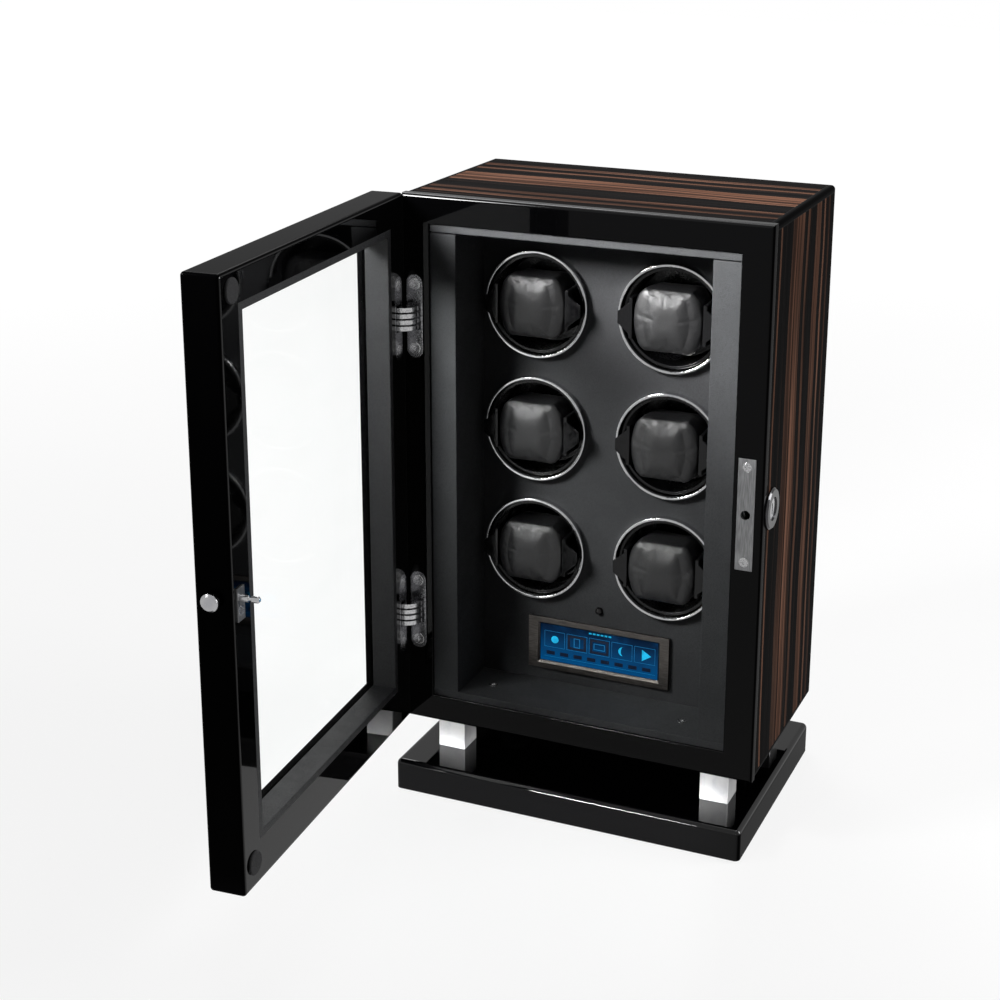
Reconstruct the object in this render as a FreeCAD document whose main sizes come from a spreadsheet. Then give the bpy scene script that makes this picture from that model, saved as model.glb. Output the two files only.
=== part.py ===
import FreeCAD, Part
import os

import Sketcher
from FreeCAD import Placement, Rotation, Vector

# Driving dimensions of the watch winder box, in millimetres and degrees
SIZES = {
    # base
    "felt_thick": 1.5,
    "felt_margin": 4.0,
    "plinth_height": 24.0,
    "plinth_side_inset": 0.5,
    "plinth_front_margin": 23.0,
    "plinth_round_radius": 4.0,
    "plinth_back_margin": 4.0,
    "pillar_width": 22.0,
    "pillar_height": 27.0,
    "pillar_side_inset": 31.5,
    "pillar_end_inset": 12.0,
    "pillar_round_radius": 0.8,
    "bolt_shank_radius": 3.0,
    "bolt_head_radius": 6.0,
    "bolt_head_height": 5.0,
    "bolt_grip_length": 12.0,
    # cabinet
    "case_depth": 160.0,
    "side_wall_thick": 22.0,
    "rail_wall_thick": 21.0,
    "back_thick": 8.0,
    "frame_thick": 8.0,
    "frame_round_radius": 2.6,
    "mouth_round_radius": 0.8,
    "edge_band_width": 5.0,
    "edge_round_radius": 3.0,
    # lining
    "lining_side_thick": 20.0,
    "lining_thick": 5.5,
    "lining_setback": 1.5,
    "lining_seam_gap": 1.0,
    "floor_screw_inset": 19.5,
    "floor_screw_setback": 24.5,
    "light_inset": 11.0,
    "light_width": 8.0,
    "light_depth": 2.0,
    "light_setback": 14.0,
    # rotor panel and its stations
    "panel_setback": 50.0,
    "panel_thick": 6.0,
    "rotor_column_pitch": 104.6,
    "rotor_row_pitch": 95.5,
    "rotor_side_margin": 3.2,
    "rotor_top_margin": 17.0,
    "rotor_sensor_gap": 3.5,
    "ring_outer_radius": 40.5,
    "ring_wall_thick": 2.5,
    "ring_flange_width": 1.5,
    "ring_proud_height": 5.0,
    "ring_round_radius": 0.9,
    "ring_tail_length": 1.0,
    "cup_ring_gap": 0.7,
    "cup_lip_width": 2.3,
    "cup_wall_thick": 1.6,
    "cup_rim_height": 1.0,
    "cup_rim_thick": 2.5,
    "cup_depth": 26.5,
    "cup_floor_thick": 2.5,
    "cup_floor_round_radius": 2.0,
    "hub_radius": 7.0,
    "hub_length": 5.0,
    "shaft_radius": 2.5,
    "shaft_grip_length": 4.0,
    "motor_board_gap": 3.0,
    "motor_board_thick": 6.0,
    "motor_radius": 13.0,
    "motor_length": 24.0,
    "motor_can_radius": 10.0,
    "motor_can_length": 12.0,
    # cushion and cuff
    "cuff_margin": 6.0,
    "cuff_thick": 2.5,
    "cuff_height": 30.0,
    "tab_over_width": 2.5,
    "tab_front_depth": 13.0,
    "tab_root_height": 23.0,
    "tab_tip_height": 8.6,
    "cushion_side_gap": 0.5,
    "cushion_end_margin": 12.0,
    "cushion_front_depth": 18.0,
    "cushion_panel_side_margin": 8.0,
    "cushion_panel_end_margin": 4.5,
    "cushion_side_bow_depth": 5.0,
    "cushion_end_bow_depth": 0.8,
    # screen and controls
    "bezel_width": 114.0,
    "bezel_height": 42.0,
    "bezel_thick": 2.5,
    "window_width": 96.0,
    "window_height": 30.5,
    "window_slope_width": 1.6,
    "screen_floor_margin": 10.5,
    "lcd_margin": 2.0,
    "lcd_recess_depth": 1.0,
    "lcd_thick": 8.0,
    "board_margin": 6.0,
    "board_thick": 1.6,
    "sensor_radius": 3.0,
    "sensor_screen_gap": 12.0,
    "sensor_depth": 9.0,
    # power inlet
    "inlet_center_distance": 60.0,
    "inlet_height": 48.0,
    "inlet_flange_radius": 7.0,
    "inlet_flange_thick": 1.5,
    "inlet_body_radius": 5.0,
    "inlet_bore_radius": 2.75,
    "inlet_depth": 14.0,
    "inlet_bore_depth": 10.0,
    # door
    "door_gap": 2.5,
    "door_open_angle": 86.0,
    "door_free_gap": 3.0,
    "door_thick": 26.0,
    "door_round_radius": 2.6,
    "door_stile_width": 22.5,
    "door_top_rail_height": 22.0,
    "door_bottom_rail_height": 30.5,
    "door_lip_thick": 4.0,
    "glass_thick": 4.0,
    "liner_thick": 5.0,
    "knob_radius": 6.0,
    "knob_stem_radius": 3.2,
    "knob_length": 7.0,
    "knob_head_length": 4.5,
    "knob_bevel_width": 1.4,
    "bumper_radius": 8.0,
    "bumper_side_margin": 14.0,
    "bumper_top_margin": 12.5,
    "bumper_bottom_margin": 18.0,
    "bumper_thick": 1.6,
    "bumper_bevel_width": 0.6,
    # lock
    "lock_offset_width": 1.2,
    "lock_plate_width": 12.6,
    "lock_plate_height": 82.0,
    "lock_plate_thick": 1.5,
    "lock_plate_proud_height": 0.8,
    "lock_hole_radius": 3.5,
    "lock_screw_spacing": 70.0,
    "lock_case_width": 10.2,
    "lock_case_height": 60.0,
    "lock_case_depth": 36.0,
    "lock_case_wall_thick": 1.0,
    "key_setback": 20.0,
    "plug_radius": 8.2,
    "plug_proud_height": 1.2,
    "plug_shaft_radius": 4.0,
    "crank_pin_radius": 1.5,
    "latch_travel_length": 4.0,
    "latch_plate_thick": 1.5,
    "latch_arm_thick": 1.0,
    "latch_setback": 4.5,
    "key_slot_width": 2.0,
    "key_slot_height": 8.0,
    "key_slot_depth": 4.0,
    "escutcheon_radius": 15.0,
    "escutcheon_thick": 2.2,
    "escutcheon_bevel_width": 1.2,
    "pin_radius": 2.2,
    "pin_neck_radius": 1.3,
    "pin_length": 14.0,
    "pin_neck_length": 2.5,
    "pin_bevel_width": 1.0,
    "strike_width": 9.0,
    "strike_height": 22.0,
    "strike_drop_height": 4.0,
    "strike_thick": 1.2,
    # concealed hinges
    "hinge_spacing": 230.0,
    "leaf_inset": 10.0,
    "leaf_width": 12.5,
    "leaf_height": 62.0,
    "leaf_flange_thick": 2.5,
    "leaf_block_height": 27.0,
    "leaf_depth": 13.5,
    "leaf_pocket_width": 9.4,
    "leaf_pocket_height": 20.0,
    "leaf_floor_thick": 1.4,
    "link_offset_width": 2.5,
    "link_thick": 2.8,
    "link_sweep_angle": 120.0,
    "link_door_angle": 54.0,
    "link_height": 3.2,
    "link_pitch": 4.6,
    "hinge_screw_spacing": 48.0,
    "hinge_screw_head_radius": 4.3,
    # screws
    "screw_head_radius": 3.4,
    "screw_head_height": 2.0,
    "screw_shank_radius": 1.5,
    "screw_length": 10.0,
    "cross_reach_length": 1.9,
    "cross_width": 0.9,
    "cross_depth": 1.0,
    # running and fitting clearances
    "fit_gap": 0.1,
    "run_gap": 0.05,
    "free_gap": 0.3,
}

HINGE_LINKS = 4

doc = FreeCAD.newDocument("watch_winder_box")
sheet = doc.addObject("Spreadsheet::Sheet", "Dims")


class Length:
    """A length as an expression over the sheet's cells, with its value beside it."""

    def __init__(self, text, value):
        self.text = text
        self.value = value

    def combine(self, sign, other, value):
        return Length(f"({self.text} {sign} {length(other).text})", value)

    def __add__(self, other):
        return self.combine("+", other, self.value + float(other))

    def __sub__(self, other):
        return self.combine("-", other, self.value - float(other))

    def __mul__(self, other):
        return self.combine("*", other, self.value * float(other))

    def __truediv__(self, other):
        return self.combine("/", other, self.value / float(other))

    def __neg__(self):
        return Length(f"(0 - {self.text})", -self.value)

    def __float__(self):
        return float(self.value)


def length(value):
    return value if isinstance(value, Length) else Length(f"({float(value)!r})", float(value))


class Dimensions:
    """The sheet's cells by name."""


d = Dimensions()
for row, (alias, value) in enumerate(SIZES.items(), start=1):
    sheet.set(f"A{row}", alias)
    sheet.set(f"B{row}", repr(value))
    sheet.setAlias(f"B{row}", alias)
doc.recompute()
for alias in SIZES:
    setattr(d, alias, Length(f"Dims.{alias}", float(sheet.get(alias))))

ZERO = length(0)
FRONT = Rotation(Vector(1, 0, 0), 90)
BACK = Rotation(Vector(1, 0, 0), -90)
RIGHT = Rotation(Vector(0, 1, 0), 90)
LEFT = Rotation(Vector(0, 1, 0), -90)
UP = Rotation()
nodes = []


# Building blocks

def node(label, piece):
    """Names a finished sub-part and keeps it for export."""
    piece.Label = label
    nodes.append(piece)
    return piece


def place(piece, at, turn=UP, carrier=None):
    """Puts a piece at a point, bound to the sheet, or where a turned carrier takes that point."""
    if carrier is not None:
        piece.Placement = carrier.multiply(Placement(Vector(*(float(v) for v in at)), turn))
        return piece
    piece.Placement = Placement(Vector(), turn)
    for axis, value in zip("xyz", at):
        piece.setExpression(f"Placement.Base.{axis}", length(value).text)
    return piece


def box(name, x, y, z, carrier=None):
    """A block between a low and a high value on each axis."""
    piece = doc.addObject("Part::Box", name)
    for side, (low, high) in zip(("Length", "Width", "Height"), (x, y, z)):
        piece.setExpression(side, (length(high) - low).text)
    return place(piece, [low for low, high in (x, y, z)], carrier=carrier)


def rod(name, at, turn, radius, reach, carrier=None):
    """A cylinder from a point along the turned Z axis."""
    piece = doc.addObject("Part::Cylinder", name)
    piece.setExpression("Radius", length(radius).text)
    piece.setExpression("Height", length(reach).text)
    return place(piece, at, turn, carrier)


def fuse(name, pieces):
    joined = doc.addObject("Part::MultiFuse", name)
    joined.Shapes = pieces
    return joined


def cut(name, base, tools):
    """What is left of a base after the tools are taken out of it."""
    piece = doc.addObject("Part::Cut", name)
    piece.Base = base
    piece.Tool = tools[0] if len(tools) == 1 else fuse(name + "_tools", tools)
    return piece


def group(name, pieces):
    joined = doc.addObject("Part::Compound", name)
    joined.Links = pieces
    return joined


def rounded(name, base, radius, chosen):
    """Rounds the edges of a base that a test on their middle point and direction picks."""
    doc.recompute()
    picks = []
    for number, edge in enumerate(base.Shape.Edges, start=1):
        along = edge.tangentAt(edge.FirstParameter)
        if chosen(edge.CenterOfMass, along):
            picks.append((number, float(radius), float(radius)))
    piece = doc.addObject("Part::Fillet", name)
    piece.Base = base
    piece.Edges = picks
    return piece


def sketch(body, name, role, loops):
    """A sketch of closed outlines on one of the body's own planes, each corner bound to the sheet."""
    plane = next(f for f in body.Origin.OriginFeatures if f.Role == role)
    drawing = body.newObject("Sketcher::SketchObject", name)
    drawing.AttachmentSupport = [(plane, "")]
    drawing.MapMode = "FlatFace"
    for loop in loops:
        first = drawing.GeometryCount
        count = len(loop)
        points = [Vector(float(x), float(y), 0) for x, y in loop]
        for step in range(count):
            drawing.addGeometry(Part.LineSegment(points[step], points[(step + 1) % count]), False)
        for step in range(count):
            after = first + (step + 1) % count
            drawing.addConstraint(Sketcher.Constraint("Coincident", first + step, 2, after, 1))
        for step, corner in enumerate(loop):
            for kind, value in zip(("DistanceX", "DistanceY"), corner):
                tie = Sketcher.Constraint(kind, -1, 1, first + step, 1, float(value))
                number = drawing.addConstraint(tie)
                drawing.setExpression(f"Constraints[{number}]", length(value).text)
    return drawing


def padded(name, role, loops, thickness):
    """A body padded from outlines, towards the plane's normal."""
    body = doc.addObject("PartDesign::Body", name)
    pad = body.newObject("PartDesign::Pad", name + "_pad")
    pad.Profile = sketch(body, name + "_outline", role, loops)
    pad.setExpression("Length", length(thickness).text)
    return body


def turned(name, outline):
    """A body turned about its own Z axis from an outline of radius and height."""
    body = doc.addObject("PartDesign::Body", name)
    profile = sketch(body, name + "_outline", "XZ_Plane", [outline])
    spin = body.newObject("PartDesign::Revolution", name + "_spin")
    spin.Profile = profile
    spin.ReferenceAxis = (profile, ["V_Axis"])
    spin.Angle = 360.0
    return body


def soften(body, radius, chosen):
    """A fillet on the round edges of a turned body that a test on radius and height picks."""
    doc.recompute()
    names = []
    for number, edge in enumerate(body.Shape.Edges, start=1):
        if isinstance(edge.Curve, Part.Circle) and chosen(edge.Curve.Radius, edge.Curve.Center.z):
            names.append(f"Edge{number}")
    plain = body.Tip
    fillet = body.newObject("PartDesign::Fillet", body.Name + "_round")
    fillet.Base = (plain, names)
    fillet.setExpression("Radius", length(radius).text)
    body.Tip = fillet
    return body


def near(value, target):
    return abs(value - float(target)) < 1e-4


def rectangle(x, z):
    (x0, x1), (z0, z1) = x, z
    return [(x0, z0), (x1, z0), (x1, z1), (x0, z1)]


# Shared planes

bay_half = d.rotor_column_pitch / 2 + d.ring_outer_radius + d.rotor_side_margin
inner_half = bay_half + d.lining_side_thick
half = inner_half + d.side_wall_thick
plinth_half = half - d.plinth_side_inset
plinth_depth = d.plinth_front_margin + d.case_depth + d.plinth_back_margin
case_back = plinth_depth / 2 - d.plinth_back_margin
case_front = case_back - d.case_depth
shell_front = case_front + d.frame_thick
panel_front = case_front + d.panel_setback
panel_back = panel_front + d.panel_thick

plinth_top = d.felt_thick + d.plinth_height
base = plinth_top + d.pillar_height
inner_low = base + d.rail_wall_thick
floor_top = inner_low + d.lining_thick
screen_z = floor_top + d.screen_floor_margin + d.bezel_height / 2
sensor_z = screen_z + d.bezel_height / 2 + d.sensor_screen_gap
low_row = sensor_z + d.rotor_sensor_gap + d.ring_outer_radius
high_row = low_row + d.rotor_row_pitch * 2
ceiling = high_row + d.ring_outer_radius + d.rotor_top_margin
inner_high = ceiling + d.lining_thick
case_top = inner_high + d.rail_wall_thick
middle_z = (base + case_top) / 2
lock_z = middle_z
lock_x = half - d.side_wall_thick / 2 - d.lock_offset_width

stations = []
for row in (2, 1, 0):
    for side in (-1, 1):
        stations.append((d.rotor_column_pitch * side / 2, low_row + d.rotor_row_pitch * row))


# Screws: countersunk cross-head screws, and the holes that they sit in

def screw_hole(name, at, turn, head_radius=d.screw_head_radius):
    head = head_radius + d.fit_gap
    shank = d.screw_shank_radius + d.fit_gap
    outline = [
        (ZERO, d.fit_gap),
        (head, d.fit_gap),
        (head, ZERO),
        (shank, -d.screw_head_height),
        (shank, -d.screw_length - d.fit_gap),
        (ZERO, -d.screw_length - d.fit_gap),
    ]
    return place(turned(name, outline), at, turn)


def screw(name, at, turn, carrier=None, head_radius=d.screw_head_radius):
    outline = [
        (ZERO, ZERO),
        (head_radius, ZERO),
        (d.screw_shank_radius, -d.screw_head_height),
        (d.screw_shank_radius, -d.screw_length),
        (ZERO, -d.screw_length),
    ]
    body = turned(name, outline)
    w = d.cross_width / 2
    r = d.cross_reach_length
    cross = [(w, w), (r, w), (r, -w), (w, -w), (w, -r), (-w, -r)]
    cross += [(-w, -w), (-r, -w), (-r, w), (-w, w), (-w, r), (w, r)]
    recess = body.newObject("PartDesign::Pocket", name + "_recess")
    recess.Profile = sketch(body, name + "_cross", "XY_Plane", [cross])
    recess.setExpression("Length", d.cross_depth.text)
    return place(body, at, turn, carrier)


# Base: felt sheet, plinth, pillars and the bolts that draw them together

felt_x = plinth_half - d.felt_margin
felt_y = plinth_depth / 2 - d.felt_margin
pillar_x = half - d.pillar_side_inset
pillar_near = case_front + d.pillar_end_inset + d.pillar_width / 2
pillar_far = case_back - d.pillar_end_inset - d.pillar_width / 2
pillar_feet = [(pillar_x * side, y) for y in (pillar_near, pillar_far) for side in (-1, 1)]
bolt_top = base + d.bolt_grip_length

plinth_y = (-plinth_depth / 2, plinth_depth / 2)
plinth_blank = box("plinth_blank", (-plinth_half, plinth_half), plinth_y, (d.felt_thick, plinth_top))
plinth_soft = rounded(
    "plinth_soft", plinth_blank, d.plinth_round_radius,
    lambda middle, along: near(middle.z, plinth_top) or abs(along.z) > 0.9,
)
felt_blank = box("felt_blank", (-felt_x, felt_x), (-felt_y, felt_y), (ZERO, d.felt_thick))
head_holes = []
plinth_holes = []
pillar_pieces = []
bolt_pieces = []
bottom_holes = []
for number, (x, y) in enumerate(pillar_feet, start=1):
    shank_gap = d.bolt_shank_radius + d.fit_gap
    head_gap = d.bolt_head_radius + d.fit_gap
    plinth_holes.append(rod(f"plinth_hole_{number}", (x, y, ZERO), UP, shank_gap, bolt_top))
    head_height = d.bolt_head_height + d.fit_gap
    head_holes.append(rod(f"head_hole_{number}", (x, y, d.felt_thick), UP, head_gap, head_height))
    reach = d.pillar_width / 2
    stub = box(f"pillar_blank_{number}", (x - reach, x + reach), (y - reach, y + reach), (plinth_top, base))
    soft = rounded(
        f"pillar_soft_{number}", stub, d.pillar_round_radius,
        lambda middle, along: abs(along.z) > 0.9,
    )
    bore = rod(f"pillar_bore_{number}", (x, y, plinth_top), UP, shank_gap, d.pillar_height)
    pillar_pieces.append(cut(f"pillar_{number}", soft, [bore]))
    foot = (x, y, d.felt_thick)
    head = rod(f"bolt_head_{number}", foot, UP, d.bolt_head_radius, d.bolt_head_height)
    shank = rod(f"bolt_shank_{number}", foot, UP, d.bolt_shank_radius, bolt_top - d.felt_thick)
    bolt_pieces.append(fuse(f"bolt_{number}", [head, shank]))
    bottom_holes.append(rod(f"insert_{number}", (x, y, base), UP, shank_gap, d.bolt_grip_length + d.fit_gap))
node("base_felt", felt_blank)
node("plinth", cut("plinth_cut", plinth_soft, plinth_holes + head_holes))
node("pillars", group("pillar_set", pillar_pieces))
node("pillar_bolts", group("bolt_set", bolt_pieces))


# Concealed hinges: a leaf is a flange with round ends and a deeper block behind it

hinge_heights = [middle_z + d.hinge_spacing * side / 2 for side in (1, -1)]
hinge_head = d.hinge_screw_head_radius
leaf_x = d.leaf_inset - half
axis_x = d.door_gap * 0.8 - half
axis_y = case_front - d.door_gap * 0.96


def leaf_blank(name, z, face, inward, spare):
    """The outside of a leaf let into a face: inward is +1 for the cabinet and -1 for the door."""
    wide = d.leaf_width / 2 + spare
    tall = d.leaf_height / 2 - d.leaf_width / 2
    turn = BACK if inward > 0 else FRONT
    flange = d.leaf_flange_thick + spare
    deep = d.leaf_depth + spare

    def across(depth):
        return (face, face + depth) if inward > 0 else (face - depth, face)

    plate = box(name + "_plate", (leaf_x - wide, leaf_x + wide), across(flange), (z - tall, z + tall))
    ends = []
    for side in (1, -1):
        middle = (leaf_x, face, z + tall * side)
        ends.append(rod(f"{name}_end_{side + 2}", middle, turn, wide, flange))
    block_tall = d.leaf_block_height / 2 + spare
    block_z = (z - block_tall, z + block_tall)
    block = box(name + "_block", (leaf_x - wide, leaf_x + wide), across(deep), block_z)
    return fuse(name, [plate, block] + ends)


def leaf_pocket(name, z, face, inward):
    """The hollow in a leaf that the links fold into."""
    wide = d.leaf_pocket_width / 2
    tall = d.leaf_pocket_height / 2
    depth = d.leaf_depth - d.leaf_floor_thick
    across = (face, face + depth) if inward > 0 else (face - depth, face)
    return box(name, (leaf_x - wide, leaf_x + wide), across, (z - tall, z + tall))


def leaf_screw_spots(z, face):
    return [(leaf_x, face, z + d.hinge_screw_spacing * side / 2) for side in (1, -1)]


case_screws = []
hinge_holes = []
leaf_mortises = []
case_leaves = []
for number, z in enumerate(hinge_heights, start=1):
    holes = []
    for place_number, spot in enumerate(leaf_screw_spots(z, case_front), start=1):
        label = f"{number}_{place_number}"
        holes.append(screw_hole(f"hinge_hole_{label}", spot, FRONT, hinge_head))
        case_screws.append(screw(f"hinge_screw_{label}", spot, FRONT, None, hinge_head))
    leaf_mortises.append(leaf_blank(f"case_mortise_{number}", z, case_front, 1, d.fit_gap))
    blank = leaf_blank(f"case_leaf_blank_{number}", z, case_front, 1, ZERO)
    pocket = leaf_pocket(f"case_leaf_pocket_{number}", z, case_front, 1)
    case_leaves.append(cut(f"case_leaf_{number}", blank, [pocket] + holes))
    hinge_holes += holes
node("hinge_leaves_case", group("case_leaf_set", case_leaves))


# Lock spaces in the cabinet: face plate, case and the bore for the key plug

plate_half = d.lock_plate_width / 2
plate_tall = d.lock_plate_height / 2
plate_face = case_front - d.lock_plate_proud_height
plate_back = plate_face + d.lock_plate_thick
case_half = d.lock_case_width / 2
case_tall = d.lock_case_height / 2
lock_end = plate_back + d.lock_case_depth
key_y = case_front + d.key_setback
plug_bore = d.plug_radius + d.free_gap

plate_space = box(
    "plate_space",
    (lock_x - plate_half - d.fit_gap, lock_x + plate_half + d.fit_gap),
    (case_front, plate_back),
    (lock_z - plate_tall - d.fit_gap, lock_z + plate_tall + d.fit_gap),
)
lock_space = box(
    "lock_space",
    (lock_x - case_half - d.fit_gap, lock_x + case_half + d.fit_gap),
    (case_front, lock_end + d.fit_gap),
    (lock_z - case_tall - d.fit_gap, lock_z + case_tall + d.fit_gap),
)
plug_space = rod("plug_space", (lock_x, key_y, lock_z), RIGHT, plug_bore, half - lock_x)
plate_holes = []
for number, side in enumerate((1, -1), start=1):
    spot = (lock_x, plate_face, lock_z + d.lock_screw_spacing * side / 2)
    plate_holes.append(screw_hole(f"plate_hole_{number}", spot, FRONT))
    case_screws.append(screw(f"plate_screw_{number}", spot, FRONT))


# Cabinet: mitred veneered panels, edge bands along the mitres, back and front frame

band = d.edge_band_width
side_profile = [
    (half, base + band),
    (half, case_top - band),
    (half - band, case_top - band),
    (inner_half, inner_high),
    (inner_half, inner_low),
    (half - band, base + band),
]
left_profile = [(-x, z) for x, z in side_profile]
top_profile = [
    (half - band, case_top),
    (-half + band, case_top),
    (-half + band, case_top - band),
    (-inner_half, inner_high),
    (inner_half, inner_high),
    (half - band, case_top - band),
]
bottom_profile = [
    (half - band, base),
    (-half + band, base),
    (-half + band, base + band),
    (-inner_half, inner_low),
    (inner_half, inner_low),
    (half - band, base + band),
]
shell_depth = case_back - shell_front


def shell_panel(name, outline):
    """A panel of the cabinet, running from the front frame to the back."""
    return place(padded(name, "XZ_Plane", [outline], shell_depth), (ZERO, case_back, ZERO))


left_blank = shell_panel("left_blank", left_profile)
right_blank = shell_panel("right_blank", side_profile)
node("side_panel_left", cut("left_cut", left_blank, leaf_mortises + hinge_holes))
node("side_panel_right", cut("right_cut", right_blank, [lock_space, plug_space] + plate_holes))
node("top_panel", shell_panel("top_blank", top_profile))
floor_holes = []
for number, side in enumerate((-1, 1), start=1):
    spot = ((bay_half - d.floor_screw_inset) * side, case_front + d.floor_screw_setback, floor_top)
    floor_holes.append(screw_hole(f"floor_hole_{number}", spot, UP))
    case_screws.append(screw(f"floor_screw_{number}", spot, UP))
bottom_blank = shell_panel("bottom_blank", bottom_profile)
node("bottom_panel", cut("bottom_cut", bottom_blank, bottom_holes + floor_holes))

band_pieces = []
for side in (-1, 1):
    for end, low in ((-1, base), (1, case_top - band)):
        spread = (half - band, half) if side > 0 else (-half, band - half)
        strip = box(f"band_blank_{side + 2}_{end + 2}", spread, (shell_front, case_back), (low, low + band))
        corner_x = half * side
        corner_z = case_top if end > 0 else base
        band_pieces.append(rounded(
            f"band_{side + 2}_{end + 2}", strip, d.edge_round_radius,
            lambda middle, along: near(middle.x, corner_x) and near(middle.z, corner_z),
        ))
node("edge_bands", group("band_set", band_pieces))

inlet_z = base + d.inlet_height
back_inside = case_back - d.back_thick
inner_x = (-inner_half, inner_half)
inner_z = (inner_low, inner_high)
back_blank = box("back_blank", inner_x, (back_inside, case_back), inner_z)
inlet_at = (d.inlet_center_distance, case_back, inlet_z)
inlet_hole = rod("inlet_hole", inlet_at, FRONT, d.inlet_body_radius + d.fit_gap, d.back_thick)
node("back_panel", cut("back_cut", back_blank, [inlet_hole]))

mouth = rectangle(inner_x, inner_z)
outside = rectangle((-half, half), (base, case_top))
frame_blank = padded("frame_blank", "XZ_Plane", [outside, mouth], d.frame_thick)
place(frame_blank, (ZERO, shell_front, ZERO))
frame_soft = rounded(
    "frame_soft", frame_blank, d.frame_round_radius,
    lambda middle, along: near(middle.y, case_front) and (
        near(abs(middle.x), half) or near(middle.z, base) or near(middle.z, case_top)
    ),
)
frame_eased = rounded(
    "frame_eased", frame_soft, d.mouth_round_radius,
    lambda middle, along: near(middle.y, case_front) and (
        near(abs(middle.x), inner_half) or near(middle.z, inner_low) or near(middle.z, inner_high)
    ),
)
frame_tools = leaf_mortises + hinge_holes + plate_holes + [plate_space, lock_space]
node("front_frame", cut("frame_cut", frame_eased, frame_tools))


# Lining boards, the light bar let into the top one, and the floor screws

lining_front = case_front + d.lining_setback
lining_deep = (lining_front, panel_front)
side_high = ceiling - d.lining_seam_gap
node("lining_left", box("left_board", (-inner_half, -bay_half), lining_deep, (floor_top, side_high)))
node("lining_right", box("right_board", (bay_half, inner_half), lining_deep, (floor_top, side_high)))
light_x = (d.light_inset - bay_half, bay_half - d.light_inset)
light_near = case_front + d.light_setback
light_y = (light_near, light_near + d.light_width)
light_z = (ceiling, ceiling + d.light_depth)
top_board = box("top_board", inner_x, lining_deep, (ceiling, inner_high))
light_groove = box("light_groove", light_x, light_y, light_z)
node("lining_top", cut("top_board_cut", top_board, [light_groove]))
node("light_bar", box("light_bar_block", light_x, light_y, light_z))
floor_board = box("floor_board", inner_x, lining_deep, (inner_low, floor_top))
node("lining_floor", cut("floor_cut", floor_board, floor_holes))
node("case_screws", group("case_screw_set", case_screws))


# Rotor panel with its six ports, the screen opening and the sensor hole

lcd_half = d.window_width / 2 + d.lcd_margin
lcd_tall = d.window_height / 2 + d.lcd_margin
panel_blank = box("panel_blank", inner_x, (panel_front, panel_back), inner_z)
ring_inner = d.ring_outer_radius - d.ring_wall_thick
ring_sleeve = d.ring_outer_radius - d.ring_flange_width
port_radius = ring_sleeve + d.fit_gap
ports = []
for number, (x, z) in enumerate(stations, start=1):
    ports.append(rod(f"port_{number}", (x, panel_front, z), BACK, port_radius, d.panel_thick))
lcd_space = box(
    "lcd_space",
    (-lcd_half - d.fit_gap, lcd_half + d.fit_gap),
    (panel_front, panel_back),
    (screen_z - lcd_tall - d.fit_gap, screen_z + lcd_tall + d.fit_gap),
)
sensor_at = (ZERO, panel_front, sensor_z)
sensor_hole = rod("sensor_hole", sensor_at, BACK, d.sensor_radius + d.fit_gap, d.panel_thick)
node("rotor_panel", cut("panel_cut", panel_blank, ports + [lcd_space, sensor_hole]))

bezel_half = d.bezel_width / 2
bezel_tall = d.bezel_height / 2
window_half = d.window_width / 2
window_tall = d.window_height / 2
bezel_loops = [
    rectangle((-bezel_half, bezel_half), (screen_z - bezel_tall, screen_z + bezel_tall)),
    rectangle((-window_half, window_half), (screen_z - window_tall, screen_z + window_tall)),
]
bezel_blank = padded("bezel_blank", "XZ_Plane", bezel_loops, d.bezel_thick)
place(bezel_blank, (ZERO, panel_front, ZERO))
bezel_face = panel_front - d.bezel_thick
doc.recompute()
slope_picks = []
for number, edge in enumerate(bezel_blank.Shape.Edges, start=1):
    middle = edge.CenterOfMass
    upright = near(abs(middle.x), window_half)
    level = near(abs(middle.z - float(screen_z)), window_tall)
    if (upright or level) and near(middle.y, bezel_face):
        slope_picks.append((number, float(d.window_slope_width), float(d.window_slope_width)))
bezel = doc.addObject("Part::Chamfer", "bezel_sloped")
bezel.Base = bezel_blank
bezel.Edges = slope_picks
node("screen_bezel", bezel)
lcd_near = panel_front + d.lcd_recess_depth
lcd_far = lcd_near + d.lcd_thick
node("lcd_module", box(
    "lcd_block", (-lcd_half, lcd_half), (lcd_near, lcd_far), (screen_z - lcd_tall, screen_z + lcd_tall),
))
board_half = lcd_half + d.board_margin
board_tall = lcd_tall + d.board_margin
node("control_board", box(
    "board_block", (-board_half, board_half), (lcd_far, lcd_far + d.board_thick),
    (screen_z - board_tall, screen_z + board_tall),
))
dome = doc.addObject("Part::Sphere", "sensor_dome")
dome.setExpression("Radius", d.sensor_radius.text)
place(dome, sensor_at)
sensor_stem = rod("sensor_stem", sensor_at, BACK, d.sensor_radius, d.sensor_depth)
node("ir_sensor", fuse("sensor_whole", [dome, sensor_stem]))


# Rotor works: chrome rings in the ports, motors on their board, and a turning cup at each station

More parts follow.
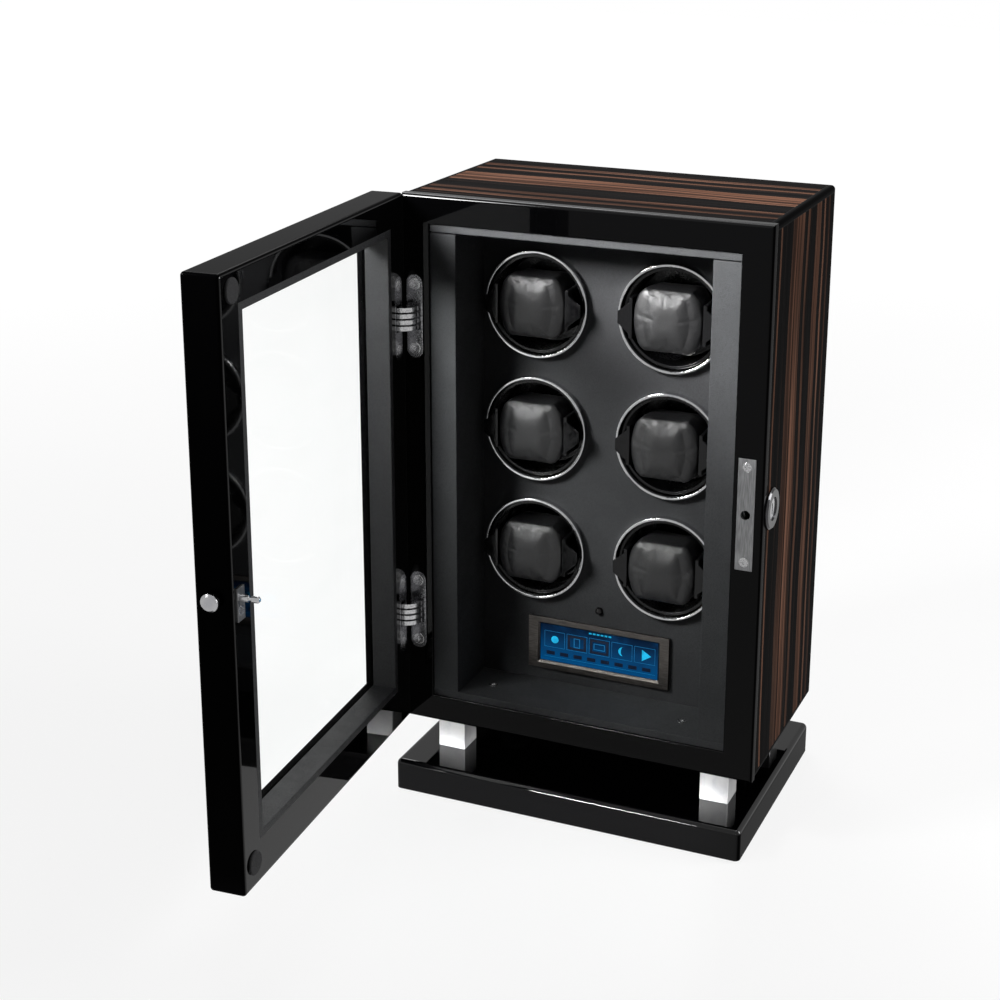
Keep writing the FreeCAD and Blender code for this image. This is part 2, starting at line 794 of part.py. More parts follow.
ring_outline = [
    (ring_inner, -d.panel_thick - d.ring_tail_length),
    (ring_sleeve, -d.panel_thick - d.ring_tail_length),
    (ring_sleeve, ZERO),
    (d.ring_outer_radius, ZERO),
    (d.ring_outer_radius, d.ring_proud_height),
    (ring_inner, d.ring_proud_height),
]
cup_rim = ring_inner - d.cup_ring_gap
cup_bore = cup_rim - d.cup_lip_width
cup_back = d.cup_rim_height - d.cup_depth - d.cup_floor_thick
cup_inside = d.cup_rim_height - d.cup_depth
cup_skin = cup_bore + d.cup_wall_thick
hub_end = cup_back - d.hub_length
board_near = hub_end - d.motor_board_gap
board_far = board_near - d.motor_board_thick
shaft_end = board_far - d.shaft_grip_length
cup_outline = [
    (ZERO, cup_inside),
    (cup_bore, cup_inside),
    (cup_bore, d.cup_rim_height),
    (cup_rim, d.cup_rim_height),
    (cup_rim, d.cup_rim_height - d.cup_rim_thick),
    (cup_skin, d.cup_rim_height - d.cup_rim_thick),
    (cup_skin, cup_back),
    (d.hub_radius, cup_back),
    (d.hub_radius, hub_end),
    (d.shaft_radius, hub_end),
    (d.shaft_radius, shaft_end),
    (ZERO, shaft_end),
]
socket = d.shaft_radius + d.run_gap
motor_back = board_far - d.motor_length
motor_outline = [
    (socket, board_far),
    (d.motor_radius, board_far),
    (d.motor_radius, motor_back),
    (d.motor_can_radius, motor_back),
    (d.motor_can_radius, motor_back - d.motor_can_length),
    (ZERO, motor_back - d.motor_can_length),
    (ZERO, shaft_end - d.free_gap),
    (socket, shaft_end - d.free_gap),
]
rings = []
motors = []
motor_holes = []
cups = []
for number, (x, z) in enumerate(stations, start=1):
    ring = soften(
        turned(f"ring_{number}", ring_outline), d.ring_round_radius,
        lambda radius, height: near(height, d.ring_proud_height),
    )
    rings.append(place(ring, (x, panel_front, z), FRONT))
    motors.append(place(turned(f"motor_{number}", motor_outline), (x, panel_front, z), FRONT))
    hole_at = (x, panel_front - board_near, z)
    hole_radius = d.shaft_radius + d.free_gap
    motor_holes.append(rod(f"motor_hole_{number}", hole_at, BACK, hole_radius, d.motor_board_thick))
    cup = soften(
        turned(f"cup_{number}", cup_outline), d.cup_floor_round_radius,
        lambda radius, height: near(height, cup_inside) and near(radius, cup_bore),
    )
    cups.append(place(cup, (x, panel_front, z), FRONT))
node("rotor_rings", group("ring_set", rings))
motor_board_y = (panel_front - board_near, panel_front - board_far)
motor_board = box("motor_board_blank", inner_x, motor_board_y, inner_z)
node("motor_board", cut("motor_board_cut", motor_board, motor_holes))
node("rotor_motors", group("motor_set", motors))
for number, cup in enumerate(cups, start=1):
    node(f"rotor_cup_{number}", cup)


# Cuffs: a hard saddle behind each cushion, with a cheek and a finger tab on either side

cheek_out = cup_bore - d.cuff_margin
cheek_in = cheek_out - d.cuff_thick
tab_end = cup_bore + d.tab_over_width
tab_reach = tab_end - cheek_out
saddle_back = cup_inside + d.free_gap
saddle_front = saddle_back + d.cuff_thick
tab_back = d.tab_front_depth - d.cuff_thick
cuff_right = [
    (cheek_out, saddle_back),
    (cheek_out, tab_back),
    (tab_end, tab_back),
    (tab_end, d.tab_front_depth),
    (cheek_in, d.tab_front_depth),
    (cheek_in, saddle_front),
]
cuff_outline = cuff_right + [(-x, depth) for x, depth in reversed(cuff_right)]
tab_trim = [
    (cheek_out, d.cuff_height),
    (cheek_out, d.tab_root_height / 2),
    (tab_end, d.tab_tip_height / 2),
    (tab_end + tab_reach, d.tab_tip_height / 2),
    (tab_end + tab_reach, d.cuff_height),
]


def cuff(name):
    """The cuff in its own axes: X across, Y up the cup, Z forward out of it."""
    body = doc.addObject("PartDesign::Body", name)
    pad = body.newObject("PartDesign::Pad", name + "_pad")
    pad.Profile = sketch(body, name + "_outline", "XZ_Plane", [cuff_outline])
    pad.setExpression("Length", d.cuff_height.text)
    pad.Midplane = True
    trims = []
    for x_side in (1, -1):
        for y_side in (1, -1):
            trims.append([(x * x_side, y * y_side) for x, y in tab_trim])
    pocket = body.newObject("PartDesign::Pocket", name + "_tabs")
    pocket.Profile = sketch(body, name + "_trims", "XY_Plane", trims)
    pocket.Type = "ThroughAll"
    pocket.Midplane = True
    return body


for number, (x, z) in enumerate(stations, start=1):
    node(f"cushion_cuff_{number}", place(cuff(f"cuff_{number}"), (x, panel_front, z), FRONT))


# Cushions: a stuffed pillow, full in the middle, drawn in at its ends, with a creased front panel

def pillow_ring(width, height, side_bulge, end_bulge, forward):
    """A closed outline of four bowed sides at a depth of the pillow."""
    x = width / 2 - side_bulge
    y = height / 2 - end_bulge
    corners = [Vector(a * x, b * y, forward) for a, b in ((1, -1), (1, 1), (-1, 1), (-1, -1))]
    bows = [
        Vector(x + side_bulge, 0, forward),
        Vector(0, y + end_bulge, forward),
        Vector(-x - side_bulge, 0, forward),
        Vector(0, -y - end_bulge, forward),
    ]
    edges = []
    for step, bow in enumerate(bows):
        edges.append(Part.Arc(corners[step], bow, corners[(step + 1) % 4]).toShape())
    return Part.Wire(edges)


def pillow():
    """The pillow's rings from back to front, in the cuff's axes."""
    width = float((cheek_in - d.cushion_side_gap) * 2)
    height = float((cup_bore - d.cushion_end_margin) * 2)
    panel_w = width - 2 * float(d.cushion_panel_side_margin)
    panel_h = height - 2 * float(d.cushion_panel_end_margin)
    bulge = float(d.cushion_side_bow_depth)
    bow = float(d.cushion_end_bow_depth)
    rear = float(saddle_front + d.free_gap)
    front = float(d.cushion_front_depth)
    crown = 0.1 * panel_h
    shoulder = front - 2.2 * crown
    belly = (rear + shoulder) / 2
    crease = 0.03 * panel_w
    rings = [
        pillow_ring(0.77 * width, 0.84 * height, 0.5 * bulge, bow, rear),
        pillow_ring(0.97 * width, 0.97 * height, bulge, bow, rear + 1.6 * crown),
        pillow_ring(width, height, bulge, bow, belly),
        pillow_ring(0.98 * width, 0.98 * height, bulge, bow, shoulder),
        pillow_ring(panel_w + crease, panel_h + crease, 0.6 * bulge, bow, front - crown),
        pillow_ring(panel_w - crease, panel_h - crease, 0.6 * bulge, bow, front - 1.1 * crown),
        pillow_ring(panel_w - 2 * crease, panel_h - 2 * crease, 0.6 * bulge, bow, front - 0.5 * crown),
        pillow_ring(0.6 * panel_w, 0.6 * panel_h, 0.4 * bulge, bow, front),
    ]
    return Part.makeLoft(rings, True, True)


pillow_shape = pillow()
for number, (x, z) in enumerate(stations, start=1):
    cushion = doc.addObject("Part::Feature", f"cushion_{number}")
    cushion.Shape = pillow_shape
    node(f"watch_cushion_{number}", place(cushion, (x, panel_front, z), FRONT))


# Power inlet through the back panel

inlet_outline = [
    (d.inlet_bore_radius, d.inlet_flange_thick),
    (d.inlet_flange_radius, d.inlet_flange_thick),
    (d.inlet_flange_radius, ZERO),
    (d.inlet_body_radius, ZERO),
    (d.inlet_body_radius, -d.inlet_depth),
    (ZERO, -d.inlet_depth),
    (ZERO, d.inlet_flange_thick - d.inlet_bore_depth),
    (d.inlet_bore_radius, d.inlet_flange_thick - d.inlet_bore_depth),
]
node("dc_power_jack", place(turned("inlet", inlet_outline), inlet_at, BACK))


# Lock: face plate, case, sliding bolt, key plug with its crank, and the escutcheon

plate_blank = box(
    "lock_plate_blank", (lock_x - plate_half, lock_x + plate_half), (plate_face, plate_back),
    (lock_z - plate_tall, lock_z + plate_tall),
)
pin_hole = rod("pin_hole", (lock_x, plate_face, lock_z), BACK, d.lock_hole_radius, d.lock_case_depth / 2)
node("lock_plate", cut("lock_plate_cut", plate_blank, [pin_hole] + plate_holes))
wall = d.lock_case_wall_thick
case_blank = box(
    "lock_case_blank", (lock_x - case_half, lock_x + case_half), (plate_back, lock_end),
    (lock_z - case_tall, lock_z + case_tall),
)
case_hollow = box(
    "lock_case_hollow",
    (lock_x - case_half + wall, lock_x + case_half - wall),
    (plate_back + wall, lock_end - wall),
    (lock_z - case_tall + wall, lock_z + case_tall - wall),
)
shaft_hole = rod("shaft_hole", (lock_x, key_y, lock_z), RIGHT, d.plug_shaft_radius + d.free_gap, case_half)
node("lock_case", cut("lock_case_cut", case_blank, [case_hollow, pin_hole, shaft_hole]))

bolt_half = case_half - wall - d.free_gap
bolt_left = lock_x - bolt_half
fork_y = (case_front + d.latch_setback, case_front + d.latch_setback + d.latch_plate_thick)
catch = d.pin_neck_radius + d.free_gap
fork_hole = d.pin_radius + d.free_gap
crank_reach = d.latch_travel_length / (2 ** 0.5)
crank_low = d.latch_travel_length / 2
slot_half = d.crank_pin_radius + d.free_gap
fork_low = lock_z - d.latch_travel_length - catch - d.latch_plate_thick
fork_high = lock_z + fork_hole + d.latch_plate_thick
fork = box("fork", (bolt_left, lock_x + bolt_half), fork_y, (fork_low, fork_high))
arm_low = lock_z - crank_low - slot_half - d.latch_plate_thick
arm_high = lock_z - crank_low + slot_half + d.latch_plate_thick
arm_end = key_y + crank_reach + slot_half + d.latch_plate_thick
arm = box("arm", (bolt_left, bolt_left + d.latch_arm_thick), (fork_y[0], arm_end), (arm_low, arm_high))
eye = rod("eye", (lock_x, fork_y[0], lock_z), BACK, fork_hole, d.latch_plate_thick)
throat_low = lock_z - d.latch_travel_length
throat = box("throat", (lock_x - catch, lock_x + catch), fork_y, (throat_low, lock_z))
throat_end = rod("throat_end", (lock_x, fork_y[0], throat_low), BACK, catch, d.latch_plate_thick)
crank_slot = box(
    "crank_slot", (bolt_left, bolt_left + d.latch_arm_thick),
    (key_y + crank_low - slot_half, key_y + crank_reach + slot_half),
    (lock_z - crank_low - slot_half, lock_z - crank_low + slot_half),
)
node("lock_bolt", cut("bolt_cut", fuse("bolt_whole", [fork, arm]), [eye, throat, throat_end, crank_slot]))

plug_face = half + d.plug_proud_height
plug_inner = lock_x + case_half + d.fit_gap
shaft_inner = lock_x + d.free_gap
plug_head = rod("plug_head", (plug_inner, key_y, lock_z), RIGHT, d.plug_radius, plug_face - plug_inner)
shaft_at = (shaft_inner, key_y, lock_z)
plug_shaft = rod("plug_shaft", shaft_at, RIGHT, d.plug_shaft_radius, plug_inner - shaft_inner)
crank_at = (bolt_left, key_y + crank_low, lock_z - crank_low)
crank = rod("crank", crank_at, RIGHT, d.crank_pin_radius, shaft_inner - bolt_left)
key_slot = box(
    "key_slot", (plug_face - d.key_slot_depth, plug_face),
    (key_y - d.key_slot_width / 2, key_y + d.key_slot_width / 2),
    (lock_z - d.key_slot_height / 2, lock_z + d.key_slot_height / 2),
)
node("lock_plug", cut("plug_cut", fuse("plug_whole", [plug_head, plug_shaft, crank]), [key_slot]))
escutcheon_outline = [
    (plug_bore, ZERO),
    (d.escutcheon_radius, ZERO),
    (d.escutcheon_radius, d.escutcheon_thick - d.escutcheon_bevel_width),
    (d.escutcheon_radius - d.escutcheon_bevel_width, d.escutcheon_thick),
    (plug_bore, d.escutcheon_thick),
]
node("lock_escutcheon", place(turned("escutcheon", escutcheon_outline), (half, key_y, lock_z), RIGHT))


# Door, drawn closed and carried round the hinge axis to its open pose

opening = Rotation(Vector(0, 0, 1), -float(d.door_open_angle))
swing = Placement(Vector(), opening, Vector(float(axis_x), float(axis_y), 0))
door_in = case_front - d.door_gap
door_out = door_in - d.door_thick
door_x = (-half, half - d.door_free_gap)
rebate_x = (door_x[0] + d.door_stile_width, door_x[1] - d.door_stile_width)
rebate_z = (base + d.door_bottom_rail_height, case_top - d.door_top_rail_height)
lip_near = door_out + d.door_lip_thick
sight_x = (rebate_x[0] + d.liner_thick, rebate_x[1] - d.liner_thick)
sight_z = (rebate_z[0] + d.liner_thick, rebate_z[1] - d.liner_thick)
glass_near = lip_near + d.glass_thick

door_blank = box("door_blank", door_x, (door_out, door_in), (base, case_top))
door_soft = rounded(
    "door_soft", door_blank, d.door_round_radius,
    lambda middle, along: near(middle.y, door_out) or not near(middle.x, -half),
)
rebate = box("rebate", rebate_x, (lip_near, door_in), rebate_z)
sight = box("sight", sight_x, (door_out, lip_near), sight_z)
knob_at = (door_x[1], (door_in + door_out) / 2, lock_z)
knob_hole = rod("knob_hole", knob_at, LEFT, d.knob_stem_radius + d.fit_gap, d.knob_length)
pin_at = (lock_x, door_in, lock_z)
pin_socket = rod("pin_socket", pin_at, FRONT, d.pin_radius + d.fit_gap, d.pin_length / 2)

door_screws = []
door_holes = []
door_mortises = []
door_leaves = []
for number, z in enumerate(hinge_heights, start=1):
    holes = []
    for place_number, spot in enumerate(leaf_screw_spots(z, door_in), start=1):
        label = f"{number}_{place_number}"
        holes.append(screw_hole(f"door_hinge_hole_{label}", spot, BACK, hinge_head))
        door_screws.append(screw(f"door_hinge_screw_{label}", spot, BACK, swing, hinge_head))
    door_mortises.append(leaf_blank(f"door_mortise_{number}", z, door_in, -1, d.fit_gap))
    blank = leaf_blank(f"door_leaf_blank_{number}", z, door_in, -1, ZERO)
    pocket = leaf_pocket(f"door_leaf_pocket_{number}", z, door_in, -1)
    door_leaves.append(cut(f"door_leaf_{number}", blank, [pocket] + holes))
    door_holes += holes
strike_z = lock_z - d.strike_drop_height
strike_half = d.strike_width / 2
strike_tall = d.strike_height / 2
strike_face = door_in + d.strike_thick
strike_spot = (lock_x, strike_face, strike_z - strike_tall + d.screw_head_radius * 2)
strike_hole = screw_hole("strike_hole", strike_spot, BACK)
door_screws.append(screw("strike_screw", strike_spot, BACK, swing))

door_frame = cut(
    "door_cut", door_soft,
    [rebate, sight, knob_hole, pin_socket, strike_hole] + door_mortises + door_holes,
)
door_frame.Placement = swing
node("door_frame", door_frame)
leaf_set = group("door_leaf_set", door_leaves)
leaf_set.Placement = swing
node("hinge_leaves_door", leaf_set)
node("door_screws", group("door_screw_set", door_screws))

gap = d.fit_gap
glass_x = (rebate_x[0] + gap, rebate_x[1] - gap)
glass_z = (rebate_z[0] + gap, rebate_z[1] - gap)
node("door_glass", box("glass_pane", glass_x, (lip_near, glass_near), glass_z, swing))

liner_y = (glass_near, door_in)
liner_strips = []
for number, low in enumerate((rebate_z[0], sight_z[1]), start=1):
    liner_strips.append(box(f"liner_rail_{number}", rebate_x, liner_y, (low, low + d.liner_thick), swing))
for number, low in enumerate((rebate_x[0], sight_x[1]), start=1):
    liner_strips.append(box(f"liner_post_{number}", (low, low + d.liner_thick), liner_y, sight_z, swing))
node("door_liner", group("liner_set", liner_strips))

knob_outline = [
    (ZERO, -d.knob_length),
    (d.knob_stem_radius, -d.knob_length),
    (d.knob_stem_radius, d.knob_length - d.knob_head_length),
    (d.knob_radius, d.knob_length - d.knob_head_length),
    (d.knob_radius, d.knob_length - d.knob_bevel_width),
    (d.knob_radius - d.knob_bevel_width, d.knob_length),
    (ZERO, d.knob_length),
]
node("door_knob", place(turned("knob", knob_outline), knob_at, RIGHT, swing))

strike_blank = box(
    "strike_blank", (lock_x - strike_half, lock_x + strike_half), (door_in, strike_face),
    (strike_z - strike_tall, strike_z + strike_tall),
)
strike_bore = rod("strike_bore", pin_at, BACK, d.pin_radius + d.fit_gap, d.strike_thick)
strike = cut("strike_cut", strike_blank, [strike_bore, strike_hole])
strike.Placement = swing
node("strike_plate", strike)
neck_at = d.door_gap + d.latch_setback + d.latch_plate_thick / 2 - d.pin_neck_length / 2
pin_outline = [
    (ZERO, -d.pin_length / 2),
    (d.pin_radius, -d.pin_length / 2),
    (d.pin_radius, neck_at),
    (d.pin_neck_radius, neck_at),
    (d.pin_neck_radius, neck_at + d.pin_neck_length),
    (d.pin_radius, neck_at + d.pin_neck_length),
    (d.pin_radius, d.pin_length - d.pin_bevel_width),
    (d.pin_radius - d.pin_bevel_width, d.pin_length),
    (ZERO, d.pin_length),
]
node("strike_pin", place(turned("pin", pin_outline), pin_at, BACK, swing))

bumper_x = door_x[1] - d.bumper_side_margin
bumper_outline = [
    (ZERO, ZERO),
    (d.bumper_radius, ZERO),
    (d.bumper_radius, d.bumper_thick - d.bumper_bevel_width),
    (d.bumper_radius - d.bumper_bevel_width, d.bumper_thick),
    (ZERO, d.bumper_thick),
]
bumpers = []
for number, z in enumerate((case_top - d.bumper_top_margin, base + d.bumper_bottom_margin), start=1):
    disc = turned(f"bumper_{number}", bumper_outline)
    bumpers.append(place(disc, (bumper_x, door_in, z), BACK, swing))
node("door_bumpers", group("bumper_set", bumpers))


# Hinge links: curved arms that slide round the hinge axis, half as far as the door turns

link_turn = Rotation(Vector(0, 0, 1), -float(d.link_door_angle) - float(d.door_open_angle) / 2)
link_middle = leaf_x - axis_x + d.link_offset_width
link_out = link_middle + d.link_thick / 2
link_in = link_middle - d.link_thick / 2
links = []
for hinge, z in enumerate(hinge_heights, start=1):
    for layer in range(HINGE_LINKS):
        middle = z + d.link_pitch * (layer - (HINGE_LINKS - 1) / 2)
        corner = (axis_x, axis_y, middle - d.link_height / 2)
        outer = rod(f"link_outer_{hinge}_{layer}", corner, link_turn, link_out, d.link_height)
        outer.setExpression("Angle", d.link_sweep_angle.text)
        inner = rod(f"link_inner_{hinge}_{layer}", corner, UP, link_in, d.link_height)
        links.append(cut(f"link_{hinge}_{layer}", outer, [inner]))
node("hinge_links", group("link_set", links))


# Every object is checked before any file is written

doc.recompute()
faults = [item.Name for item in doc.Objects if "Invalid" in item.State or "Error" in item.State]
for piece in nodes:
    shape = piece.Shape
    if shape.isNull() or not shape.isValid() or not shape.Solids:
        faults.append(piece.Label)
if faults:
    raise RuntimeError("failed objects: " + ", ".join(faults))

os.makedirs("parts", exist_ok=True)
for piece in nodes:
    piece.Shape.exportStep(os.path.join("parts", piece.Label + ".step"))
print(len(nodes), "sub-parts,", sum(len(piece.Shape.Solids) for piece in nodes), "solids")
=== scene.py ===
import math

import bmesh
import bpy
from mathutils import Matrix, Vector, noise


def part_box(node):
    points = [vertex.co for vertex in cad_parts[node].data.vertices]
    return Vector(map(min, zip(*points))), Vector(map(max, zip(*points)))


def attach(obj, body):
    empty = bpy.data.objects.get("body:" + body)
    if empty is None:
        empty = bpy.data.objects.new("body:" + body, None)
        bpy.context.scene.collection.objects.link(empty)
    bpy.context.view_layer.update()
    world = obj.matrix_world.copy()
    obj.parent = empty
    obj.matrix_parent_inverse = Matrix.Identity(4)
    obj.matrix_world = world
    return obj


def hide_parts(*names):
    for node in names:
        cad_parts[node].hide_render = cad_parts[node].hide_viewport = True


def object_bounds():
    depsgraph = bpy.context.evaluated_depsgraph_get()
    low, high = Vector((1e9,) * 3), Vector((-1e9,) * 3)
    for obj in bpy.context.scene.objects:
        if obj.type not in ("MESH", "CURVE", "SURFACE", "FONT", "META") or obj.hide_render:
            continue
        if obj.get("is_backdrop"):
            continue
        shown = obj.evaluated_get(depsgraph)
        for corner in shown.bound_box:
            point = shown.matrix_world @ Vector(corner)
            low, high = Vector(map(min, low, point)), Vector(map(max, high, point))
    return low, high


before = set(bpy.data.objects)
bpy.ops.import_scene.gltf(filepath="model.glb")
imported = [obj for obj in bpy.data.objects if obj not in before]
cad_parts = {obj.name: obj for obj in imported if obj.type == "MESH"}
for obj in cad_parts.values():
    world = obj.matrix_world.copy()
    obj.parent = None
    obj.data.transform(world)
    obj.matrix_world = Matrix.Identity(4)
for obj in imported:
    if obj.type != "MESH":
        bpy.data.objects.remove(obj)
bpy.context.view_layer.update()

scene = bpy.context.scene

# Base: a plinth of lacquered board on a felt sole, with four square chromed pillars standing on it.
# The board is sprayed gloss black and polished.
# Bolts from below draw the pillars and the case down tight.


def put(tree, kind, inputs=None, **settings):
    """A shader node with its settings, and its inputs set to a value or linked to a socket."""
    made = tree.nodes.new("ShaderNode" + kind)
    for key, value in settings.items():
        setattr(made, key, value)
    for key, value in (inputs or {}).items():
        socket = made.inputs[key]
        if isinstance(value, bpy.types.NodeSocket):
            tree.links.new(value, socket)
        else:
            socket.default_value = value
    return made


def calc(tree, operation, *values):
    """The result of a math node on values or sockets."""
    return put(tree, "Math", dict(enumerate(values)), operation=operation).outputs[0]


def spread(tree, value, low, high, to_low=0.0, to_high=1.0):
    """A value carried smoothly from one range to another."""
    sockets = {"Value": value, "From Min": low, "From Max": high, "To Min": to_low, "To Max": to_high}
    return put(tree, "MapRange", sockets, interpolation_type="SMOOTHSTEP").outputs["Result"]


def blend_colour(tree, factor, first, second):
    """One colour laid over another by a factor."""
    sockets = {0: factor, 6: first, 7: second}
    return put(tree, "Mix", sockets, data_type="RGBA").outputs[2]


def new_group(name, inputs, outputs):
    """An empty shader group with named sockets, and its two end nodes."""
    tree = bpy.data.node_groups.new(name, "ShaderNodeTree")
    for label, kind, value in inputs:
        socket = tree.interface.new_socket(label, in_out="INPUT", socket_type="NodeSocket" + kind)
        if value is not None:
            socket.default_value = value
    for label, kind in outputs:
        tree.interface.new_socket(label, in_out="OUTPUT", socket_type="NodeSocket" + kind)
    entry = tree.nodes.new("NodeGroupInput")
    close = tree.nodes.new("NodeGroupOutput")
    return tree, entry.outputs, close.inputs


def place_group(tree, group_tree, **values):
    """A group set into a material, with its own values; underscores stand for spaces in socket names."""
    made = tree.nodes.new("ShaderNodeGroup")
    made.node_tree = group_tree
    for key, value in values.items():
        socket = made.inputs[key.replace("_", " ")]
        if isinstance(value, bpy.types.NodeSocket):
            tree.links.new(value, socket)
        else:
            socket.default_value = value
    return made.outputs


def new_finish(name, roughness, metallic=0.0, ior=1.45, **uniform):
    """A material with its shader, and the place on the piece in metres."""
    material = bpy.data.materials.new(name)
    material.use_nodes = True
    tree = material.node_tree
    shader = tree.nodes["Principled BSDF"]
    shader.inputs["Roughness"].default_value = roughness
    shader.inputs["Metallic"].default_value = metallic
    shader.inputs["IOR"].default_value = ior
    for key, value in uniform.items():
        shader.inputs[key.replace("_", " ")].default_value = value
    place = put(tree, "TexCoord").outputs["Object"]
    return material, tree, shader, place


def relief(tree, shader, height, depth, normal=None):
    """Raises the surface by a height, of a depth in metres."""
    sockets = {"Height": height, "Distance": depth, "Strength": 1.0}
    if normal is not None:
        sockets["Normal"] = normal
    bump = put(tree, "Bump", sockets)
    tree.links.new(bump.outputs["Normal"], shader.inputs["Normal"])


def dress(material, *names):
    """Gives CAD nodes their finish."""
    for name in names:
        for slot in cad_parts[name].material_slots:
            slot.material = material


# Edges that a cutter or a polishing wheel has rounded, and that hands have rubbed
edge_group, given, result = new_group(
    "rounded_edge",
    [("Radius", "Float", 0.0006), ("Vector", "Vector", None)],
    [("Normal", "Vector"), ("Rub", "Float")],
)
round_edge = put(edge_group, "Bevel", {"Radius": given["Radius"]}, samples=4)
flat_face = put(edge_group, "NewGeometry")
turn = put(
    edge_group, "VectorMath", {0: round_edge.outputs["Normal"], 1: flat_face.outputs["Normal"]},
    operation="DOT_PRODUCT",
).outputs["Value"]
patchy = put(edge_group, "TexNoise", {"Vector": given["Vector"], "Scale": 180.0, "Detail": 3.0})
rubbed = spread(edge_group, turn, 0.995, 0.8)
rubbed = calc(edge_group, "MULTIPLY", rubbed, spread(edge_group, patchy.outputs[0], 0.3, 0.7))
edge_group.links.new(round_edge.outputs["Normal"], result["Normal"])
edge_group.links.new(rubbed, result["Rub"])

# The cloudy sheen that polishing leaves, with fine ripple under it
sheen_group, given, result = new_group(
    "polished_sheen",
    [("Vector", "Vector", None), ("Cloud Scale", "Float", 40.0), ("Ripple Scale", "Float", 260.0),
     ("Smooth", "Float", 0.05), ("Hazy", "Float", 0.12)],
    [("Roughness", "Float"), ("Ripple", "Float")],
)
cloud = put(
    sheen_group, "TexNoise", {"Vector": given["Vector"], "Scale": given["Cloud Scale"], "Detail": 5.0}
)
ripple = put(
    sheen_group, "TexNoise", {"Vector": given["Vector"], "Scale": given["Ripple Scale"], "Detail": 1.0}
)
haze = spread(sheen_group, cloud.outputs[0], 0.35, 0.7, given["Smooth"], given["Hazy"])
sheen_group.links.new(haze, result["Roughness"])
sheen_group.links.new(ripple.outputs[0], result["Ripple"])


def lacquer(name, ior, polished_faces):
    """Black polyester lacquer with dust nibs under its film, polished on faces turned one way."""
    material, tree, shader, place = new_finish(name, 0.07, ior=ior, Coat_Roughness=0.03, Coat_IOR=1.5)
    edge = place_group(tree, edge_group, Radius=0.0009, Vector=place)
    sheen = place_group(
        tree, sheen_group, Vector=place, Cloud_Scale=22.0, Ripple_Scale=210.0, Smooth=0.045, Hazy=0.085
    )
    nibs = put(tree, "TexVoronoi", {"Vector": place, "Scale": 420.0}).outputs["Distance"]
    nibs = spread(tree, nibs, 0.09, 0.03)
    black = blend_colour(tree, nibs, (0.0005, 0.0005, 0.0006, 1), (0.0012, 0.0012, 0.0014, 1))
    black = blend_colour(tree, edge["Rub"], black, (0.0025, 0.0025, 0.0028, 1))
    tree.links.new(black, shader.inputs["Base Color"])
    tree.links.new(sheen["Roughness"], shader.inputs["Roughness"])
    facing = put(tree, "SeparateXYZ", {0: put(tree, "TexCoord").outputs["Normal"]}).outputs
    polish = None
    for axis, start, full, degree in polished_faces:
        face = spread(tree, facing[axis], start, full, 0.0, degree)
        polish = face if polish is None else calc(tree, "MAXIMUM", polish, face)
    tree.links.new(polish, shader.inputs["Coat Weight"])
    height = calc(tree, "MULTIPLY_ADD", nibs, 0.4, sheen["Ripple"])
    relief(tree, shader, height, 0.000012, edge["Normal"])
    return material


turned_up = ("Z", 0.12, 0.35)
turned_forward = ("Y", -0.70, -0.96)
plinth_faces = ((*turned_up, 1.0), (*turned_forward, 0.45))
plinth_lacquer = lacquer("plinth_gloss_black", 1.06, plinth_faces)
dress(plinth_lacquer, "plinth")


def plating(name, colour, smooth, hazy, metallic=1.0):
    """Bright plated metal, with polishing swirls and a faint blue-grey cast in the hazier spots."""
    material, tree, shader, place = new_finish(name, smooth, metallic=metallic)
    edge = place_group(tree, edge_group, Radius=0.0004, Vector=place)
    sheen = place_group(
        tree, sheen_group, Vector=place, Cloud_Scale=70.0, Ripple_Scale=900.0, Smooth=smooth, Hazy=hazy
    )
    swirl = put(tree, "TexNoise", {"Vector": place, "Scale": 45.0, "Detail": 6.0, "Distortion": 2.0})
    dull = [part * 0.82 for part in colour[:2]] + [colour[2] * 0.86, 1]
    metal = blend_colour(tree, spread(tree, swirl.outputs[0], 0.45, 0.75), (*colour, 1), dull)
    tree.links.new(metal, shader.inputs["Base Color"])
    tree.links.new(sheen["Roughness"], shader.inputs["Roughness"])
    relief(tree, shader, sheen["Ripple"], 0.000004, edge["Normal"])
    return material


dress(plating("pillar_satin_chrome", (0.97, 0.97, 0.975), 0.16, 0.22, 0.5), "pillars")


def felt(name, colour):
    """Pressed wool felt, matted in all directions with stray hairs."""
    material, tree, shader, place = new_finish(name, 0.95, ior=1.3)
    mat = put(tree, "TexNoise", {"Vector": place, "Scale": 900.0, "Detail": 5.0, "Distortion": 1.5})
    hair = put(tree, "TexVoronoi", {"Vector": place, "Scale": 1500.0}, feature="DISTANCE_TO_EDGE")
    pale = [part * 1.9 for part in colour] + [1]
    wool = blend_colour(tree, spread(tree, mat.outputs[0], 0.3, 0.75), (*colour, 1), pale)
    tree.links.new(wool, shader.inputs["Base Color"])
    fuzz = calc(tree, "MULTIPLY_ADD", hair.outputs["Distance"], 0.6, mat.outputs[0])
    relief(tree, shader, fuzz, 0.0002)
    return material


dress(felt("black_sole_felt", (0.012, 0.012, 0.013)), "base_felt")


